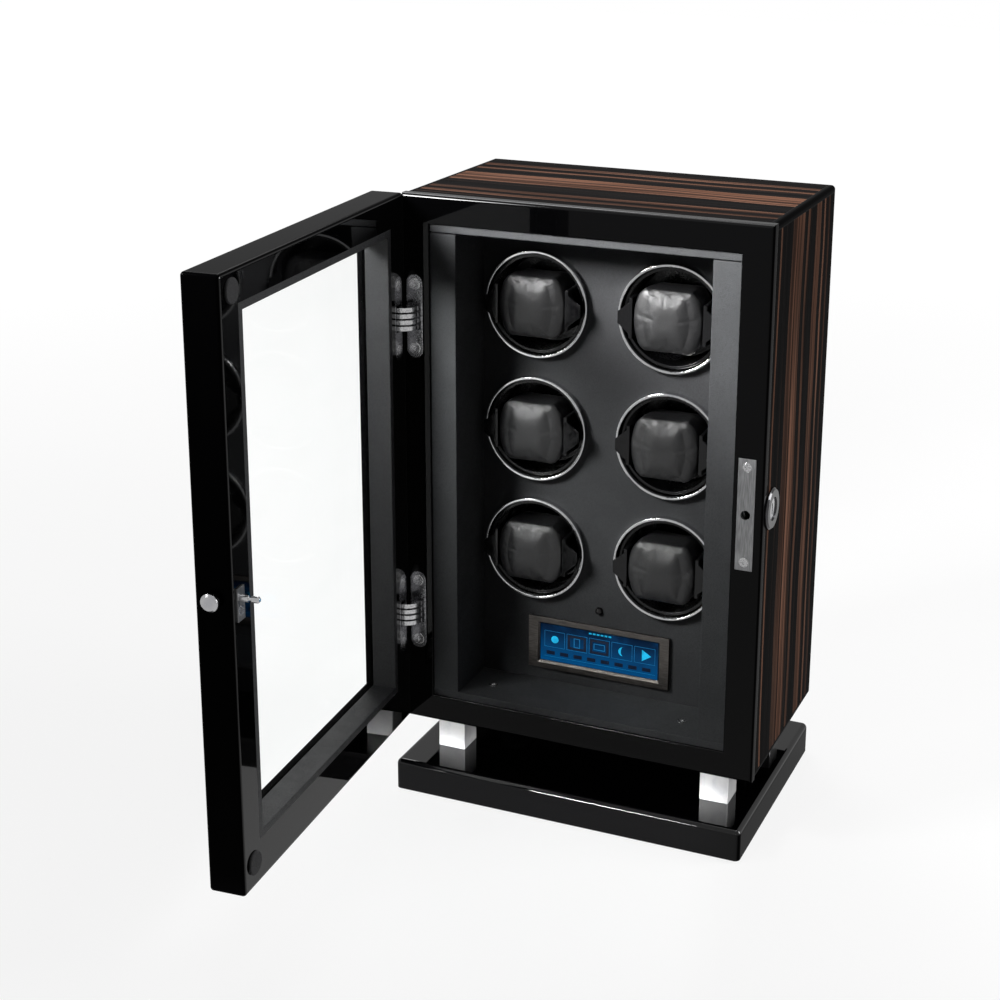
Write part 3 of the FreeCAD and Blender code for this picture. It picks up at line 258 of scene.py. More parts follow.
def machined(name, colour, smooth, hazy, across=(1.0, 1.0, 1.0)):
    """Brushed or turned metal: fine scratches drawn out along one way, with painted shade in the grooves.
    """
    material, tree, shader, place = new_finish(name, smooth, metallic=1.0)
    edge = place_group(tree, edge_group, Radius=0.0004, Vector=place)
    lines = put(tree, "VectorMath", {0: place, 1: across}, operation="MULTIPLY").outputs["Vector"]
    scratch = put(tree, "TexNoise", {"Vector": lines, "Scale": 1600.0, "Detail": 4.0}).outputs[0]
    blotch = put(tree, "TexNoise", {"Vector": place, "Scale": 90.0, "Detail": 4.0}).outputs[0]
    dark = [part * 0.62 for part in colour] + [1]
    bright = [min(1.0, part * 1.25) for part in colour] + [1]
    # Painted shade: the colour is darker where the scratches sink; the dark blotches after it are the
    # metal's own tone.
    metal = blend_colour(tree, spread(tree, scratch, 0.35, 0.65), dark, (*colour, 1))
    metal = blend_colour(tree, spread(tree, blotch, 0.55, 0.8), metal, dark)
    metal = blend_colour(tree, edge["Rub"], metal, bright)
    tree.links.new(metal, shader.inputs["Base Color"])
    rough = spread(tree, calc(tree, "ADD", scratch, blotch), 0.7, 1.3, smooth, hazy)
    tree.links.new(rough, shader.inputs["Roughness"])
    relief(tree, shader, scratch, 0.000012, edge["Normal"])
    return material


screw_steel = machined("screw_steel_bright", (0.80, 0.80, 0.81), 0.18, 0.32)
dress(screw_steel, "pillar_bolts")


# Cabinet: mitred boards with a striped dark veneer on the sides and the top, under clear lacquer.
# Black edge bands are let into the mitres, and a gloss black frame is glued on the front.
# A board in satin paint closes the back.

veneer_group, given, result = new_group(
    "striped_veneer",
    [("Across", "Float", 0.0), ("Along", "Float", 0.0), ("Leaf", "Float", 0.0), ("Band", "Float", 0.0)],
    [("Color", "Color"), ("Pore", "Float")],
)


def streaks(across_scale, along_scale, detail, shift=0.0):
    """Noise drawn out along the grain."""
    lane = calc(veneer_group, "MULTIPLY_ADD", given["Across"], across_scale, shift)
    run = calc(veneer_group, "MULTIPLY", given["Along"], along_scale)
    point = put(veneer_group, "CombineXYZ", {"X": lane, "Y": run, "Z": given["Leaf"]}).outputs[0]
    return put(veneer_group, "TexNoise", {"Vector": point, "Scale": 1.0, "Detail": detail}).outputs[0]


stripes = spread(veneer_group, streaks(330.0, 1.4, 3.0, 11.3), 0.36, 0.62)
threads = spread(veneer_group, streaks(520.0, 2.0, 2.0, 27.9), 0.62, 0.74)
tone = streaks(150.0, 3.5, 3.0, 41.0)
fade = spread(veneer_group, streaks(60.0, 6.0, 2.0, 63.0), 0.26, 0.60, 0.45, 1.0)
pores = streaks(2600.0, 70.0, 2.0, 5.0)
brown = calc(veneer_group, "MULTIPLY_ADD", stripes, 0.85, 0.15)
brown = calc(veneer_group, "MULTIPLY", brown, fade)
amount = calc(veneer_group, "MULTIPLY", brown, given["Band"])
thread_share = calc(veneer_group, "MULTIPLY_ADD", given["Band"], 0.35, 0.10)
thin_line = calc(veneer_group, "MULTIPLY", threads, thread_share)
heartwood_dark = (0.0024, 0.0022, 0.0023, 1)
heartwood_brown = (0.0056, 0.0049, 0.0048, 1)
sapwood_dull = (0.085, 0.039, 0.024, 1)
sapwood_bright = (0.180, 0.087, 0.056, 1)
thread_pale = (0.27, 0.150, 0.102, 1)
pore_dark = (0.006, 0.005, 0.005, 1)
heart_tone = spread(veneer_group, tone, 0.35, 0.7)
heartwood = blend_colour(veneer_group, heart_tone, heartwood_dark, heartwood_brown)
sap_tone = spread(veneer_group, tone, 0.35, 0.65)
sapwood = blend_colour(veneer_group, sap_tone, sapwood_dull, sapwood_bright)
wood = blend_colour(veneer_group, amount, heartwood, sapwood)
wood = blend_colour(veneer_group, thin_line, wood, thread_pale)
pore = spread(veneer_group, pores, 0.62, 0.72)
pore_share = calc(veneer_group, "MULTIPLY", pore, 0.45)
wood = blend_colour(veneer_group, pore_share, wood, pore_dark)
veneer_group.links.new(wood, result["Color"])
veneer_group.links.new(pore, result["Pore"])
veneer_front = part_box("side_panel_right")[0].y
veneer_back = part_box("side_panel_right")[1].y


def veneer(name, along_axis, leaf, bands):
    """A leaf of striped veneer under clear lacquer.

    A band has its place from the front and its width, in millimetres, and how brown it is.
    """
    material, tree, shader, place = new_finish(name, 0.2, ior=1.016)
    axes = put(tree, "SeparateXYZ", {0: place}).outputs
    run = calc(tree, "MULTIPLY", axes[along_axis], 5.0)
    across = calc(tree, "MULTIPLY", axes["Y"], 9.0)
    sway_at = put(tree, "CombineXYZ", {"X": across, "Y": run, "Z": leaf}).outputs[0]
    sway = put(tree, "TexNoise", {"Vector": sway_at, "Scale": 1.0, "Detail": 2.0}).outputs[0]
    lane = calc(tree, "MULTIPLY_ADD", sway, 0.014, calc(tree, "SUBTRACT", axes["Y"], 0.007))
    span = {"Value": lane, "From Min": veneer_front, "From Max": veneer_back}
    share = put(tree, "MapRange", span).outputs[0]
    ramp = put(tree, "ValToRGB", {0: share})
    stops = ramp.color_ramp.elements
    stops[0].color = stops[1].color = (0, 0, 0, 1)
    millimetres = (veneer_back - veneer_front) * 1000
    for middle, width, depth in bands:
        soft = min(1.6, width * 0.4)
        half = width / 2
        for at, level in ((-half - soft, 0), (-half, depth), (half, depth), (half + soft, 0)):
            stop = stops.new((middle + at) / millimetres)
            stop.color = (level, level, level, 1)
    grain = place_group(
        tree, veneer_group, Across=lane, Along=axes[along_axis], Leaf=leaf, Band=ramp.outputs["Color"]
    )
    sheen = place_group(
        tree, sheen_group, Vector=place, Cloud_Scale=18.0, Ripple_Scale=160.0, Smooth=0.16, Hazy=0.24
    )
    tree.links.new(grain["Color"], shader.inputs["Base Color"])
    rough = calc(tree, "MULTIPLY_ADD", grain["Pore"], 0.08, sheen["Roughness"])
    tree.links.new(rough, shader.inputs["Roughness"])
    sunk = calc(tree, "MULTIPLY_ADD", grain["Pore"], -0.5, sheen["Ripple"])
    relief(tree, shader, sunk, 0.00002)
    return material


right_bands = (
    (9, 2.5, 0.9), (44, 12, 0.8), (60, 14, 1.0), (80, 4, 0.5),
    (108, 12, 0.75), (125, 3, 0.8), (137, 3, 0.5),
)
left_bands = ((12, 5, 0.7), (31, 3, 0.6), (56, 18, 1.0), (78, 7, 0.6), (101, 4, 0.7), (124, 14, 0.85))
top_bands = ((16, 4, 0.6), (30, 5, 0.75), (66, 9, 0.8), (82, 18, 1.0), (112, 5, 0.5), (128, 6, 0.7))
dress(veneer("veneer_left_leaf", "Z", 1.3, left_bands), "side_panel_left")
dress(veneer("veneer_right_leaf", "Z", 4.1, right_bands), "side_panel_right")
dress(veneer("veneer_top_leaf", "X", 7.6, top_bands), "top_panel")
case_faces = ((*turned_up, 0.6), (*turned_forward, 0.24))
case_lacquer = lacquer("case_gloss_black", 1.06, case_faces)
dress(case_lacquer, "front_frame", "bottom_panel")
dress(lacquer("band_gloss_black", 1.025, ((*turned_forward, 0.24),)), "edge_bands")


def painted_board(name, colour, roughness):
    """Pressed fibre board under a thin satin paint that shows the fibres and roller stipple."""
    material, tree, shader, place = new_finish(name, roughness, ior=1.4)
    edge = place_group(tree, edge_group, Radius=0.0006, Vector=place)
    stipple = put(tree, "TexNoise", {"Vector": place, "Scale": 650.0, "Detail": 4.0}).outputs[0]
    patch = put(tree, "TexNoise", {"Vector": place, "Scale": 14.0, "Detail": 5.0}).outputs[0]
    dark = [part * 0.7 for part in colour] + [1]
    worn = [part * 2.4 for part in colour] + [1]
    paint = blend_colour(tree, spread(tree, patch, 0.3, 0.7), dark, (*colour, 1))
    paint = blend_colour(tree, edge["Rub"], paint, worn)
    tree.links.new(paint, shader.inputs["Base Color"])
    rough = spread(tree, calc(tree, "ADD", stipple, patch), 0.7, 1.3, roughness - 0.1, roughness + 0.1)
    tree.links.new(rough, shader.inputs["Roughness"])
    relief(tree, shader, stipple, 0.00006, edge["Normal"])
    return material


dress(painted_board("back_board_satin", (0.012, 0.012, 0.013), 0.45), "back_panel")


# Lining: boards wrapped in dark grey leatherette, standing round the mouth of the case.
# The floor board is held by two screws, and a strip of diffuser for the lamps is let into the top one.

# The hide's grain: its height, a mask of its valleys for painted shade, and a patchy tone.
hide_group, given, result = new_group(
    "pebbled_hide",
    [("Vector", "Vector", None), ("Pebble Scale", "Float", 900.0), ("Crease Scale", "Float", 120.0)],
    [("Height", "Float"), ("Painted Valley Shade", "Float"), ("Tone", "Float")],
)
bend = put(
    hide_group, "TexNoise", {"Vector": given["Vector"], "Scale": given["Crease Scale"], "Detail": 3.0}
)
bend_reach = (0.0008, 0.0008, 0.0008)
bent = put(
    hide_group, "VectorMath", {0: bend.outputs["Color"], 1: bend_reach, 2: given["Vector"]},
    operation="MULTIPLY_ADD",
).outputs["Vector"]
pebble = put(
    hide_group, "TexVoronoi", {"Vector": bent, "Scale": given["Pebble Scale"], "Randomness": 0.85},
    feature="DISTANCE_TO_EDGE",
).outputs["Distance"]
pebble = spread(hide_group, pebble, 0.0, 0.32)
crease = spread(hide_group, bend.outputs[0], 0.46, 0.56)
height = calc(hide_group, "MULTIPLY_ADD", crease, 0.35, pebble)
tone = put(hide_group, "TexNoise", {"Vector": given["Vector"], "Scale": 30.0, "Detail": 5.0}).outputs[0]
hide_group.links.new(height, result["Height"])
hide_group.links.new(calc(hide_group, "SUBTRACT", 1.0, pebble), result["Painted Valley Shade"])
hide_group.links.new(tone, result["Tone"])


def leatherette(name, colour, roughness, pebble_scale, depth, ior=1.4):
    """Grained sheet over board, with painted shade in the grain's valleys, and a little rubbed on the
    edges.
    """
    material, tree, shader, place = new_finish(name, roughness, ior=ior)
    edge = place_group(tree, edge_group, Radius=0.0010, Vector=place)
    hide = place_group(tree, hide_group, Vector=place, Pebble_Scale=pebble_scale, Crease_Scale=90.0)
    dark = [part * 0.66 for part in colour] + [1]
    light = [part * 1.22 for part in colour] + [1]
    skin = blend_colour(tree, spread(tree, hide["Tone"], 0.35, 0.7), (*colour, 1), light)
    # Painted shade: the colour is darkened in the grain's valleys.
    skin = blend_colour(tree, calc(tree, "MULTIPLY", hide["Painted Valley Shade"], 0.8), skin, dark)
    skin = blend_colour(tree, calc(tree, "MULTIPLY", edge["Rub"], 0.5), skin, light)
    tree.links.new(skin, shader.inputs["Base Color"])
    rough = spread(tree, hide["Height"], 0.1, 1.1, roughness + 0.12, roughness - 0.06)
    tree.links.new(rough, shader.inputs["Roughness"])
    relief(tree, shader, hide["Height"], depth, edge["Normal"])
    return material


lining_skin = leatherette("lining_grey_leatherette", (0.074, 0.076, 0.079), 0.50, 1100.0, 0.00008, 1.15)
dress(lining_skin, "lining_left", "lining_right", "lining_top", "lining_floor")


def moulded(name, colour, roughness, grain=700.0, depth=0.00003, ior=1.45, edge_radius=0.0005):
    """Moulded plastic with a fine spark-eroded grain and a duller bloom in places."""
    material, tree, shader, place = new_finish(name, roughness, ior=ior)
    edge = place_group(tree, edge_group, Radius=edge_radius, Vector=place)
    spark = put(tree, "TexNoise", {"Vector": place, "Scale": grain, "Detail": 3.0}).outputs[0]
    bloom = put(tree, "TexNoise", {"Vector": place, "Scale": 35.0, "Detail": 4.0}).outputs[0]
    pale = [part * 1.5 for part in colour] + [1]
    resin = blend_colour(tree, spread(tree, bloom, 0.4, 0.75), (*colour, 1), pale)
    resin = blend_colour(tree, edge["Rub"], resin, pale)
    tree.links.new(resin, shader.inputs["Base Color"])
    rough = spread(tree, calc(tree, "ADD", spark, bloom), 0.7, 1.3, roughness - 0.07, roughness + 0.09)
    tree.links.new(rough, shader.inputs["Roughness"])
    relief(tree, shader, spark, depth, edge["Normal"])
    return material


dress(moulded("lamp_diffuser_milky", (0.62, 0.62, 0.60), 0.42), "light_bar")


# Rotor panel: a board covered in the same grey sheet, cut with six ports that each take a chromed ring.
# Behind it, motors on an inner board turn the black moulded cups that sit in the rings.

panel_skin = leatherette("rotor_panel_grey_sheet", (0.066, 0.067, 0.070), 0.52, 1500.0, 0.00005, 1.15)
dress(panel_skin, "rotor_panel")
ring_chrome = plating("ring_chrome_plate", (0.72, 0.725, 0.73), 0.10, 0.17)
dress(ring_chrome, "rotor_rings")
cup_resin = moulded("cup_black_resin", (0.0035, 0.0035, 0.004), 0.22, depth=0.000002, edge_radius=0.0010)
cup_names = [f"rotor_cup_{number}" for number in range(1, 7)]
dress(cup_resin, *cup_names)
dress(painted_board("inner_board_raw", (0.16, 0.11, 0.07), 0.7), "motor_board")
dress(machined("motor_can_zinc", (0.42, 0.42, 0.43), 0.3, 0.45, (1.0, 6.0, 1.0)), "rotor_motors")


# Cushions: a stuffed pillow of thin black leather, with a front panel sewn to a band round it.
# Each one is pressed into its cuff; a watch is buckled round it and it turns with the cup.

stations = []
for number in range(1, 7):
    low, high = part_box(f"watch_cushion_{number}")
    stations.append(((low.x + high.x) / 2, (low.z + high.z) / 2))
panel_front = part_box("rotor_panel")[0].y
cushion_low, cushion_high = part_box("watch_cushion_1")
half_wide = (cushion_high.x - cushion_low.x) / 2
half_tall = (cushion_high.z - cushion_low.z) / 2
rear_depth = panel_front - cushion_high.y
front_depth = panel_front - cushion_low.y
corner_points = 10
side_points = 14
ring_points = 4 * (corner_points + side_points)


def pillow_outline(wide, tall, corner, barrel):
    """Evenly spaced points of a square with small round corners, whose sides bow out between them."""
    points = []
    for quarter, (along_x, along_z) in enumerate(((1, 1), (-1, 1), (-1, -1), (1, -1))):
        middle_x, middle_z = along_x * (wide - corner), along_z * (tall - corner)
        for step in range(corner_points):
            angle = math.pi / 2 * (quarter + step / (corner_points - 1))
            points.append((middle_x + corner * math.cos(angle), middle_z + corner * math.sin(angle)))
        start_x, start_z = points[-1]
        for step in range(1, side_points + 1):
            share = step / (side_points + 1)
            end_x = -start_x if quarter % 2 == 0 else start_x
            end_z = start_z if quarter % 2 == 0 else -start_z
            points.append((start_x + (end_x - start_x) * share, start_z + (end_z - start_z) * share))
    return [(x * (1 - barrel * (z / tall) ** 2), z) for x, z in points]


def pillow_mesh():
    """The pillow's skin, as rings from the back to the front, with its seams and its back.

    A ring has its share of the width and of the height, its corner, its bow and its share of the depth.
    """
    depth = front_depth - rear_depth
    rings = []
    back_steps = 6
    for step in range(back_steps):
        share = (step + 1) / back_steps
        rings.append((0.76 * share, 0.84 * share, 0.005 * share, 0.10, 0.0))
    swells = ((0.03, 0.85), (0.11, 0.91), (0.22, 0.94), (0.35, 0.96), (0.48, 0.98), (0.62, 0.99))
    for forward, swell in swells:
        rings.append((swell, swell, 0.0055, 0.22, forward))
    rings += [(1.0, 0.995, 0.0052, 0.24, 0.73), (1.0, 0.99, 0.0050, 0.24, 0.81)]
    bow = 0.25
    band_seam = len(rings)
    band_wide, band_tall, band_corner, band_forward = 0.97, 0.965, 0.0044, 0.858
    rings.append((0.985, 0.98, 0.0046, bow, 0.845))
    rings.append((band_wide, band_tall, band_corner, bow, band_forward))
    panel_wide, panel_tall, panel_corner, panel_forward = 0.66, 0.785, 0.0030, 0.926
    corner_loss, facet_rise = 0.0014, 0.068
    facet_steps = 5
    for step in range(facet_steps):
        turn = (step + 1) / (facet_steps + 1)
        wide = band_wide + (panel_wide - band_wide) * turn
        tall = band_tall + (panel_tall - band_tall) * turn
        corner = band_corner - corner_loss * turn
        rings.append((wide, tall, corner, bow, band_forward + facet_rise * turn))
    panel_seam = len(rings)
    rings.append((panel_wide, panel_tall, panel_corner, bow, panel_forward))
    panel_steps = 10
    crown_edge, crown_rise, crown_curve = 0.930, 0.052, 2.2
    for step in range(panel_steps):
        share = 1 - 0.04 - 0.96 * step / panel_steps
        crown = crown_edge + crown_rise * (1 - share ** crown_curve)
        rings.append((panel_wide * share, panel_tall * share, panel_corner * share, bow * share, crown))
    mesh = bmesh.new()
    loops = []
    for wide, tall, corner, barrel, forward in rings:
        outline = pillow_outline(wide * half_wide, tall * half_tall, corner, barrel)
        y = -(rear_depth + forward * depth)
        loops.append([mesh.verts.new((x, y, z)) for x, z in outline])
    for back, fore in zip(loops, loops[1:]):
        for step in range(ring_points):
            after = (step + 1) % ring_points
            mesh.faces.new((back[step], back[after], fore[after], fore[step]))
    for loop in (loops[0], loops[-1]):
        middle = mesh.verts.new((0, loop[0].co.y, 0))
        for step in range(ring_points):
            mesh.faces.new((loop[step], loop[(step + 1) % ring_points], middle))
    bmesh.ops.recalc_face_normals(mesh, faces=mesh.faces)
    mesh.verts.index_update()
    sewn = loops[band_seam:band_seam + 2] + loops[panel_seam:panel_seam + 1]
    seam = [vert.index for loop in sewn for vert in loop]
    rear = [vert.index for loop in loops[:8] for vert in loop]
    made = bpy.data.meshes.new("pillow_skin")
    mesh.to_mesh(made)
    mesh.free()
    return made, seam, rear


sim_scale = 10.0
settle_frames = 20


def stuffed(mesh, seam, rear):
    """Blows the skin up by cloth simulation, with seams and back held, and brings it back to size."""
    rest = [vert.co.copy() for vert in mesh.vertices]
    mesh.transform(Matrix.Scale(sim_scale, 4))
    skin = bpy.data.objects.new("pillow_trial", mesh)
    scene.collection.objects.link(skin)
    held = skin.vertex_groups.new(name="held")
    held.add(seam + rear, 1.0, "REPLACE")
    cloth = skin.modifiers.new("stuffing", "CLOTH")
    cloth.settings.quality = 6
    cloth.settings.mass = 0.3
    cloth.settings.tension_stiffness = 12.0
    cloth.settings.compression_stiffness = 12.0
    cloth.settings.shear_stiffness = 6.0
    cloth.settings.bending_stiffness = 3.0
    cloth.settings.vertex_group_mass = "held"
    cloth.settings.use_pressure = True
    cloth.settings.uniform_pressure_force = 4.0
    cloth.settings.shrink_min = -0.015
    cloth.settings.effector_weights.gravity = 0.0
    cloth.point_cache.frame_start = 1
    cloth.point_cache.frame_end = settle_frames
    for moment in range(1, settle_frames + 1):
        scene.frame_set(moment)
    shaped = skin.evaluated_get(bpy.context.evaluated_depsgraph_get()).to_mesh()
    moved = [vert.co / sim_scale for vert in shaped.vertices]
    scene.frame_set(1)
    bpy.data.objects.remove(skin)
    reach = 0.0009
    for vert, start, end in zip(mesh.vertices, rest, moved):
        step = end - start
        if step.length > reach:
            step = step.normalized() * reach
        vert.co = start + step
        vert.co.x = max(-half_wide, min(half_wide, vert.co.x))
        vert.co.z = max(-half_tall, min(half_tall, vert.co.z))
        vert.co.y = max(-front_depth, min(-rear_depth, vert.co.y))
    return mesh


pillow_skin, seam_line, rear_line = pillow_mesh()
pillow_skin = stuffed(pillow_skin, seam_line, rear_line)


def leather():
    """Thin black leather with a fine pebble and painted shade in its valleys, creased where it is drawn
    round the stuffing.
    """
    material, tree, shader, place = new_finish("cushion_black_leather", 0.36, ior=1.62)
    hide = place_group(tree, hide_group, Vector=place, Pebble_Scale=1500.0, Crease_Scale=150.0)
    patches = spread(tree, hide["Tone"], 0.35, 0.7)
    skin = blend_colour(tree, patches, (0.010, 0.010, 0.011, 1), (0.018, 0.018, 0.019, 1))
    # Painted shade: the pebble's valleys are darkened to near black.
    skin = blend_colour(tree, hide["Painted Valley Shade"], skin, (0.005, 0.005, 0.0055, 1))
    tree.links.new(skin, shader.inputs["Base Color"])
    rough = spread(tree, hide["Height"], 0.1, 1.2, 0.48, 0.30)
    tree.links.new(rough, shader.inputs["Roughness"])
    relief(tree, shader, hide["Height"], 0.00005)
    return material


cushion_leather = leather()
drift_scale, drift_reach, drift_gap = 70.0, 0.00035, 9.1
drift_seed = 5
noise.seed_set(drift_seed)
for number, (x, z) in enumerate(stations, start=1):
    skin = pillow_skin.copy()
    for vert in skin.vertices:
        drift = noise.noise_vector(vert.co * drift_scale + Vector((number * drift_gap, 0, 0)))
        vert.co += drift * drift_reach
    skin.transform(Matrix.Translation((x, panel_front, z)))
    cushion = bpy.data.objects.new(f"stuffed_cushion_{number}", skin)
    scene.collection.objects.link(cushion)
    cushion.data.materials.append(cushion_leather)
    for face in cushion.data.polygons:
        face.use_smooth = True
    smooth = cushion.modifiers.new("smooth", "SUBSURF")
    smooth.levels = smooth.render_levels = 1
    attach(cushion, f"cushion_{number}")
    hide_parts(f"watch_cushion_{number}")


# Cuffs: a hard black saddle behind each cushion, moulded in one piece with two finger tabs.
# It is pushed into the cup, and the tabs in front of the ring are what a hand pulls it out by.

cuff_resin = moulded(
    "cuff_gloss_resin", (0.0030, 0.0030, 0.0034), 0.14, grain=260.0, depth=0.000003, edge_radius=0.0010
)
cuff_names = [f"cushion_cuff_{number}" for number in range(1, 7)]
dress(cuff_resin, *cuff_names)


# Screen: a satin bronze frame on the rotor panel, with a lit blue panel of cells behind its window.
# The cells show plain symbols: a dot, outlined blocks, a crescent and a triangle, over a row of blocks.
# A domed sensor sits above it, and its circuit board stands behind the rotor panel.

bezel_bronze = machined("bezel_satin_bronze", (0.150, 0.138, 0.128), 0.30, 0.42, (0.08, 1.0, 1.0))
dress(bezel_bronze, "screen_bezel")


def screen_glow():
    """Dark blue backlit glass, brighter towards the lower edge and in its cells."""
    material, tree, shader, place = new_finish("screen_blue_backlight", 0.12, ior=1.12)
    axes = put(tree, "SeparateXYZ", {0: place}).outputs
    low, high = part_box("lcd_module")
    rise = spread(tree, axes["Z"], low.z, high.z)
    spots = put(tree, "TexNoise", {"Vector": place, "Scale": 60.0, "Detail": 2.0}).outputs[0]
    dots = put(tree, "TexVoronoi", {"Vector": place, "Scale": 1800.0}).outputs["Distance"]
    blue = blend_colour(tree, rise, (0.0010, 0.068, 0.205, 1), (0.0004, 0.006, 0.022, 1))
    blue = blend_colour(tree, spread(tree, spots, 0.45, 0.8), blue, (0.0010, 0.040, 0.125, 1))
    blue = blend_colour(tree, calc(tree, "MULTIPLY", dots, 0.25), blue, (0.0004, 0.012, 0.040, 1))
    tree.links.new(blue, shader.inputs["Emission Color"])
    shader.inputs["Emission Strength"].default_value = 1.0
    ink = blend_colour(tree, spots, (0.002, 0.003, 0.006, 1), (0.004, 0.006, 0.010, 1))
    tree.links.new(ink, shader.inputs["Base Color"])
    return material


dress(screen_glow(), "lcd_module")
lcd_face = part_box("lcd_module")[0].y
cell_lift = 0.00012


def flat_prism(mesh, outline):
    """A thin closed plate on the screen's face, from an outline in x and z."""
    front = [mesh.verts.new((x, lcd_face - cell_lift, z)) for x, z in outline]
    back = [mesh.verts.new((x, lcd_face, z)) for x, z in outline]
    mesh.faces.new(front)
    mesh.faces.new(list(reversed(back)))
    count = len(outline)
    for step in range(count):
        after = (step + 1) % count
        mesh.faces.new((front[after], front[step], back[step], back[after]))


def block(mesh, x0, z0, x1, z1):
    """A filled rectangle."""
    flat_prism(mesh, [(x0, z0), (x1, z0), (x1, z1), (x0, z1)])


def strip_frame(mesh, x0, z0, x1, z1, line):
    """A rectangle's outline, as four thin bars that meet edge to edge."""
    block(mesh, x0, z0, x1, z0 + line)
    block(mesh, x0, z1 - line, x1, z1)
    block(mesh, x0, z0 + line, x0 + line, z1 - line)
    block(mesh, x1 - line, z0 + line, x1, z1 - line)


def disc(cx, cz, radius, count=28):
    """Points round a circle."""
    points = []
    for step in range(count):
        angle = 2 * math.pi * step / count
        points.append((cx + radius * math.cos(angle), cz + radius * math.sin(angle)))
    return points


def crescent(cx, cz, radius, count=18):
    """A moon's outline: a half circle and a flatter curve back."""
    points = []
    for step in range(count + 1):
        angle = math.pi / 2 + math.pi * step / count
        points.append((cx + radius * math.cos(angle), cz + radius * math.sin(angle)))
    for step in range(1, count):
        angle = -math.pi / 2 - math.pi * step / count
        points.append((cx + 0.45 * radius * math.cos(angle), cz + radius * math.sin(angle)))
    return points


def lit_cells(name, colour):
    """Marks that glow on the screen, with the light falling off a little across the panel."""
    material, tree, shader, place = new_finish(name, 0.3, ior=1.4)
    flicker = put(tree, "TexNoise", {"Vector": place, "Scale": 240.0, "Detail": 2.0}).outputs[0]
    dim = [part * 0.7 for part in colour] + [1]
    glow = blend_colour(tree, spread(tree, flicker, 0.35, 0.7), dim, (*colour, 1))
    tree.links.new(glow, shader.inputs["Emission Color"])
    shader.inputs["Emission Strength"].default_value = 1.0
    tree.links.new(blend_colour(tree, 0.5, glow, (0, 0, 0, 1)), shader.inputs["Base Color"])
    return material


def screen_marks(name, material, draw):
    """One object of marks on the screen."""
    mesh = bmesh.new()
    draw(mesh)
    bmesh.ops.recalc_face_normals(mesh, faces=mesh.faces)
    made = bpy.data.meshes.new(name)
    mesh.to_mesh(made)
    mesh.free()
    marks = bpy.data.objects.new(name, made)
    scene.collection.objects.link(marks)
    made.materials.append(material)
    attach(marks, "cabinet")


cell_pitch = 0.0184
cell_wide = 0.0168
cell_floor = 0.1062
cell_roof = 0.1196
cell_left = -0.0452
cell_middle = (cell_floor + cell_roof) / 2


def draw_bright(mesh):
    """The dot, the crescent, the triangle and a row of bars over the cells."""
    dot_radius, moon_radius = 0.0030, 0.0036
    flat_prism(mesh, disc(cell_left + 0.5 * cell_pitch - 0.0006, cell_middle, dot_radius))
    flat_prism(mesh, crescent(cell_left + 3.5 * cell_pitch, cell_middle, moon_radius))
    tip = cell_left + 4.5 * cell_pitch + 0.0044
    tail, half = tip - 0.0074, 0.0046
    flat_prism(mesh, [(tail, cell_middle - half), (tip, cell_middle), (tail, cell_middle + half)])
    bar_floor, bar_roof, bar_wide, bar_pitch = 0.1226, 0.1238, 0.0022, 0.0032
    for step in range(6):
        x = -0.0086 + step * bar_pitch
        block(mesh, x, bar_floor, x + bar_wide, bar_roof)


def draw_dim(mesh):
    """Outlines of the five cells, the two block symbols and the lower rule."""
    for step in range(5):
        x = cell_left + step * cell_pitch
        strip_frame(mesh, x, cell_floor, x + cell_wide, cell_roof, 0.0003)
    symbols = ((1.5, 0.0026, 0.0040, 0.0007), (2.5, 0.0046, 0.0026, 0.0006))
    for place, wide, tall, line in symbols:
        x = cell_left + place * cell_pitch - 0.0008
        strip_frame(mesh, x - wide, cell_middle - tall, x + wide, cell_middle + tall, line)
    block(mesh, cell_left, 0.0982, -cell_left, 0.0985)


def draw_dark(mesh):
    """Cells that are switched off: two large ones and a row of small blocks below."""
    gap, border = 0.0008, 0.0020
    for step in (1, 2):
        x = cell_left + step * cell_pitch + gap
        strip_frame(mesh, x, cell_floor + gap, x + 0.0152, cell_roof - gap, border)
    block_floor, block_roof, block_wide, block_pitch = 0.1000, 0.1030, 0.0068, 0.0112
    for step in range(8):
        x = cell_left + 0.0018 + step * block_pitch
        block(mesh, x, block_floor, x + block_wide, block_roof)


screen_marks("screen_bright_marks", lit_cells("screen_cyan_glow", (0.010, 0.46, 0.80)), draw_bright)
screen_marks("screen_dim_marks", lit_cells("screen_deep_glow", (0.002, 0.130, 0.320)), draw_dim)
screen_marks("screen_dark_marks", lit_cells("screen_dark_cell", (0.0005, 0.006, 0.022)), draw_dark)
sensor_lens = moulded("sensor_dark_lens", (0.004, 0.003, 0.0035), 0.10, grain=200.0, depth=0.000002)
dress(sensor_lens, "ir_sensor")


def circuit_board():
    """Green solder mask over woven glass, with paler copper runs."""
    material, tree, shader, place = new_finish("circuit_green_mask", 0.35, ior=1.5)
    runs = put(tree, "TexBrick", {"Vector": place, "Scale": 90.0, "Mortar Size": 0.03}).outputs["Fac"]
    weave = put(tree, "TexNoise", {"Vector": place, "Scale": 1200.0, "Detail": 2.0}).outputs[0]
    green = blend_colour(tree, runs, (0.006, 0.060, 0.022, 1), (0.020, 0.140, 0.050, 1))
    green = blend_colour(tree, spread(tree, weave, 0.4, 0.8), green, (0.004, 0.040, 0.016, 1))
    tree.links.new(green, shader.inputs["Base Color"])
    relief(tree, shader, calc(tree, "ADD", runs, weave), 0.00003)
    return material


dress(circuit_board(), "control_board")


# Power inlet: a moulded black socket clipped through the back board.
# Its round bore takes the plug of a power lead.

dress(moulded("inlet_black_resin", (0.010, 0.010, 0.011), 0.42), "dc_power_jack")


# Lock: a brushed face plate screwed into the right stile, with a case and a sliding bolt behind it.
# The key plug and its dark nickel escutcheon come out through the right side of the cabinet.

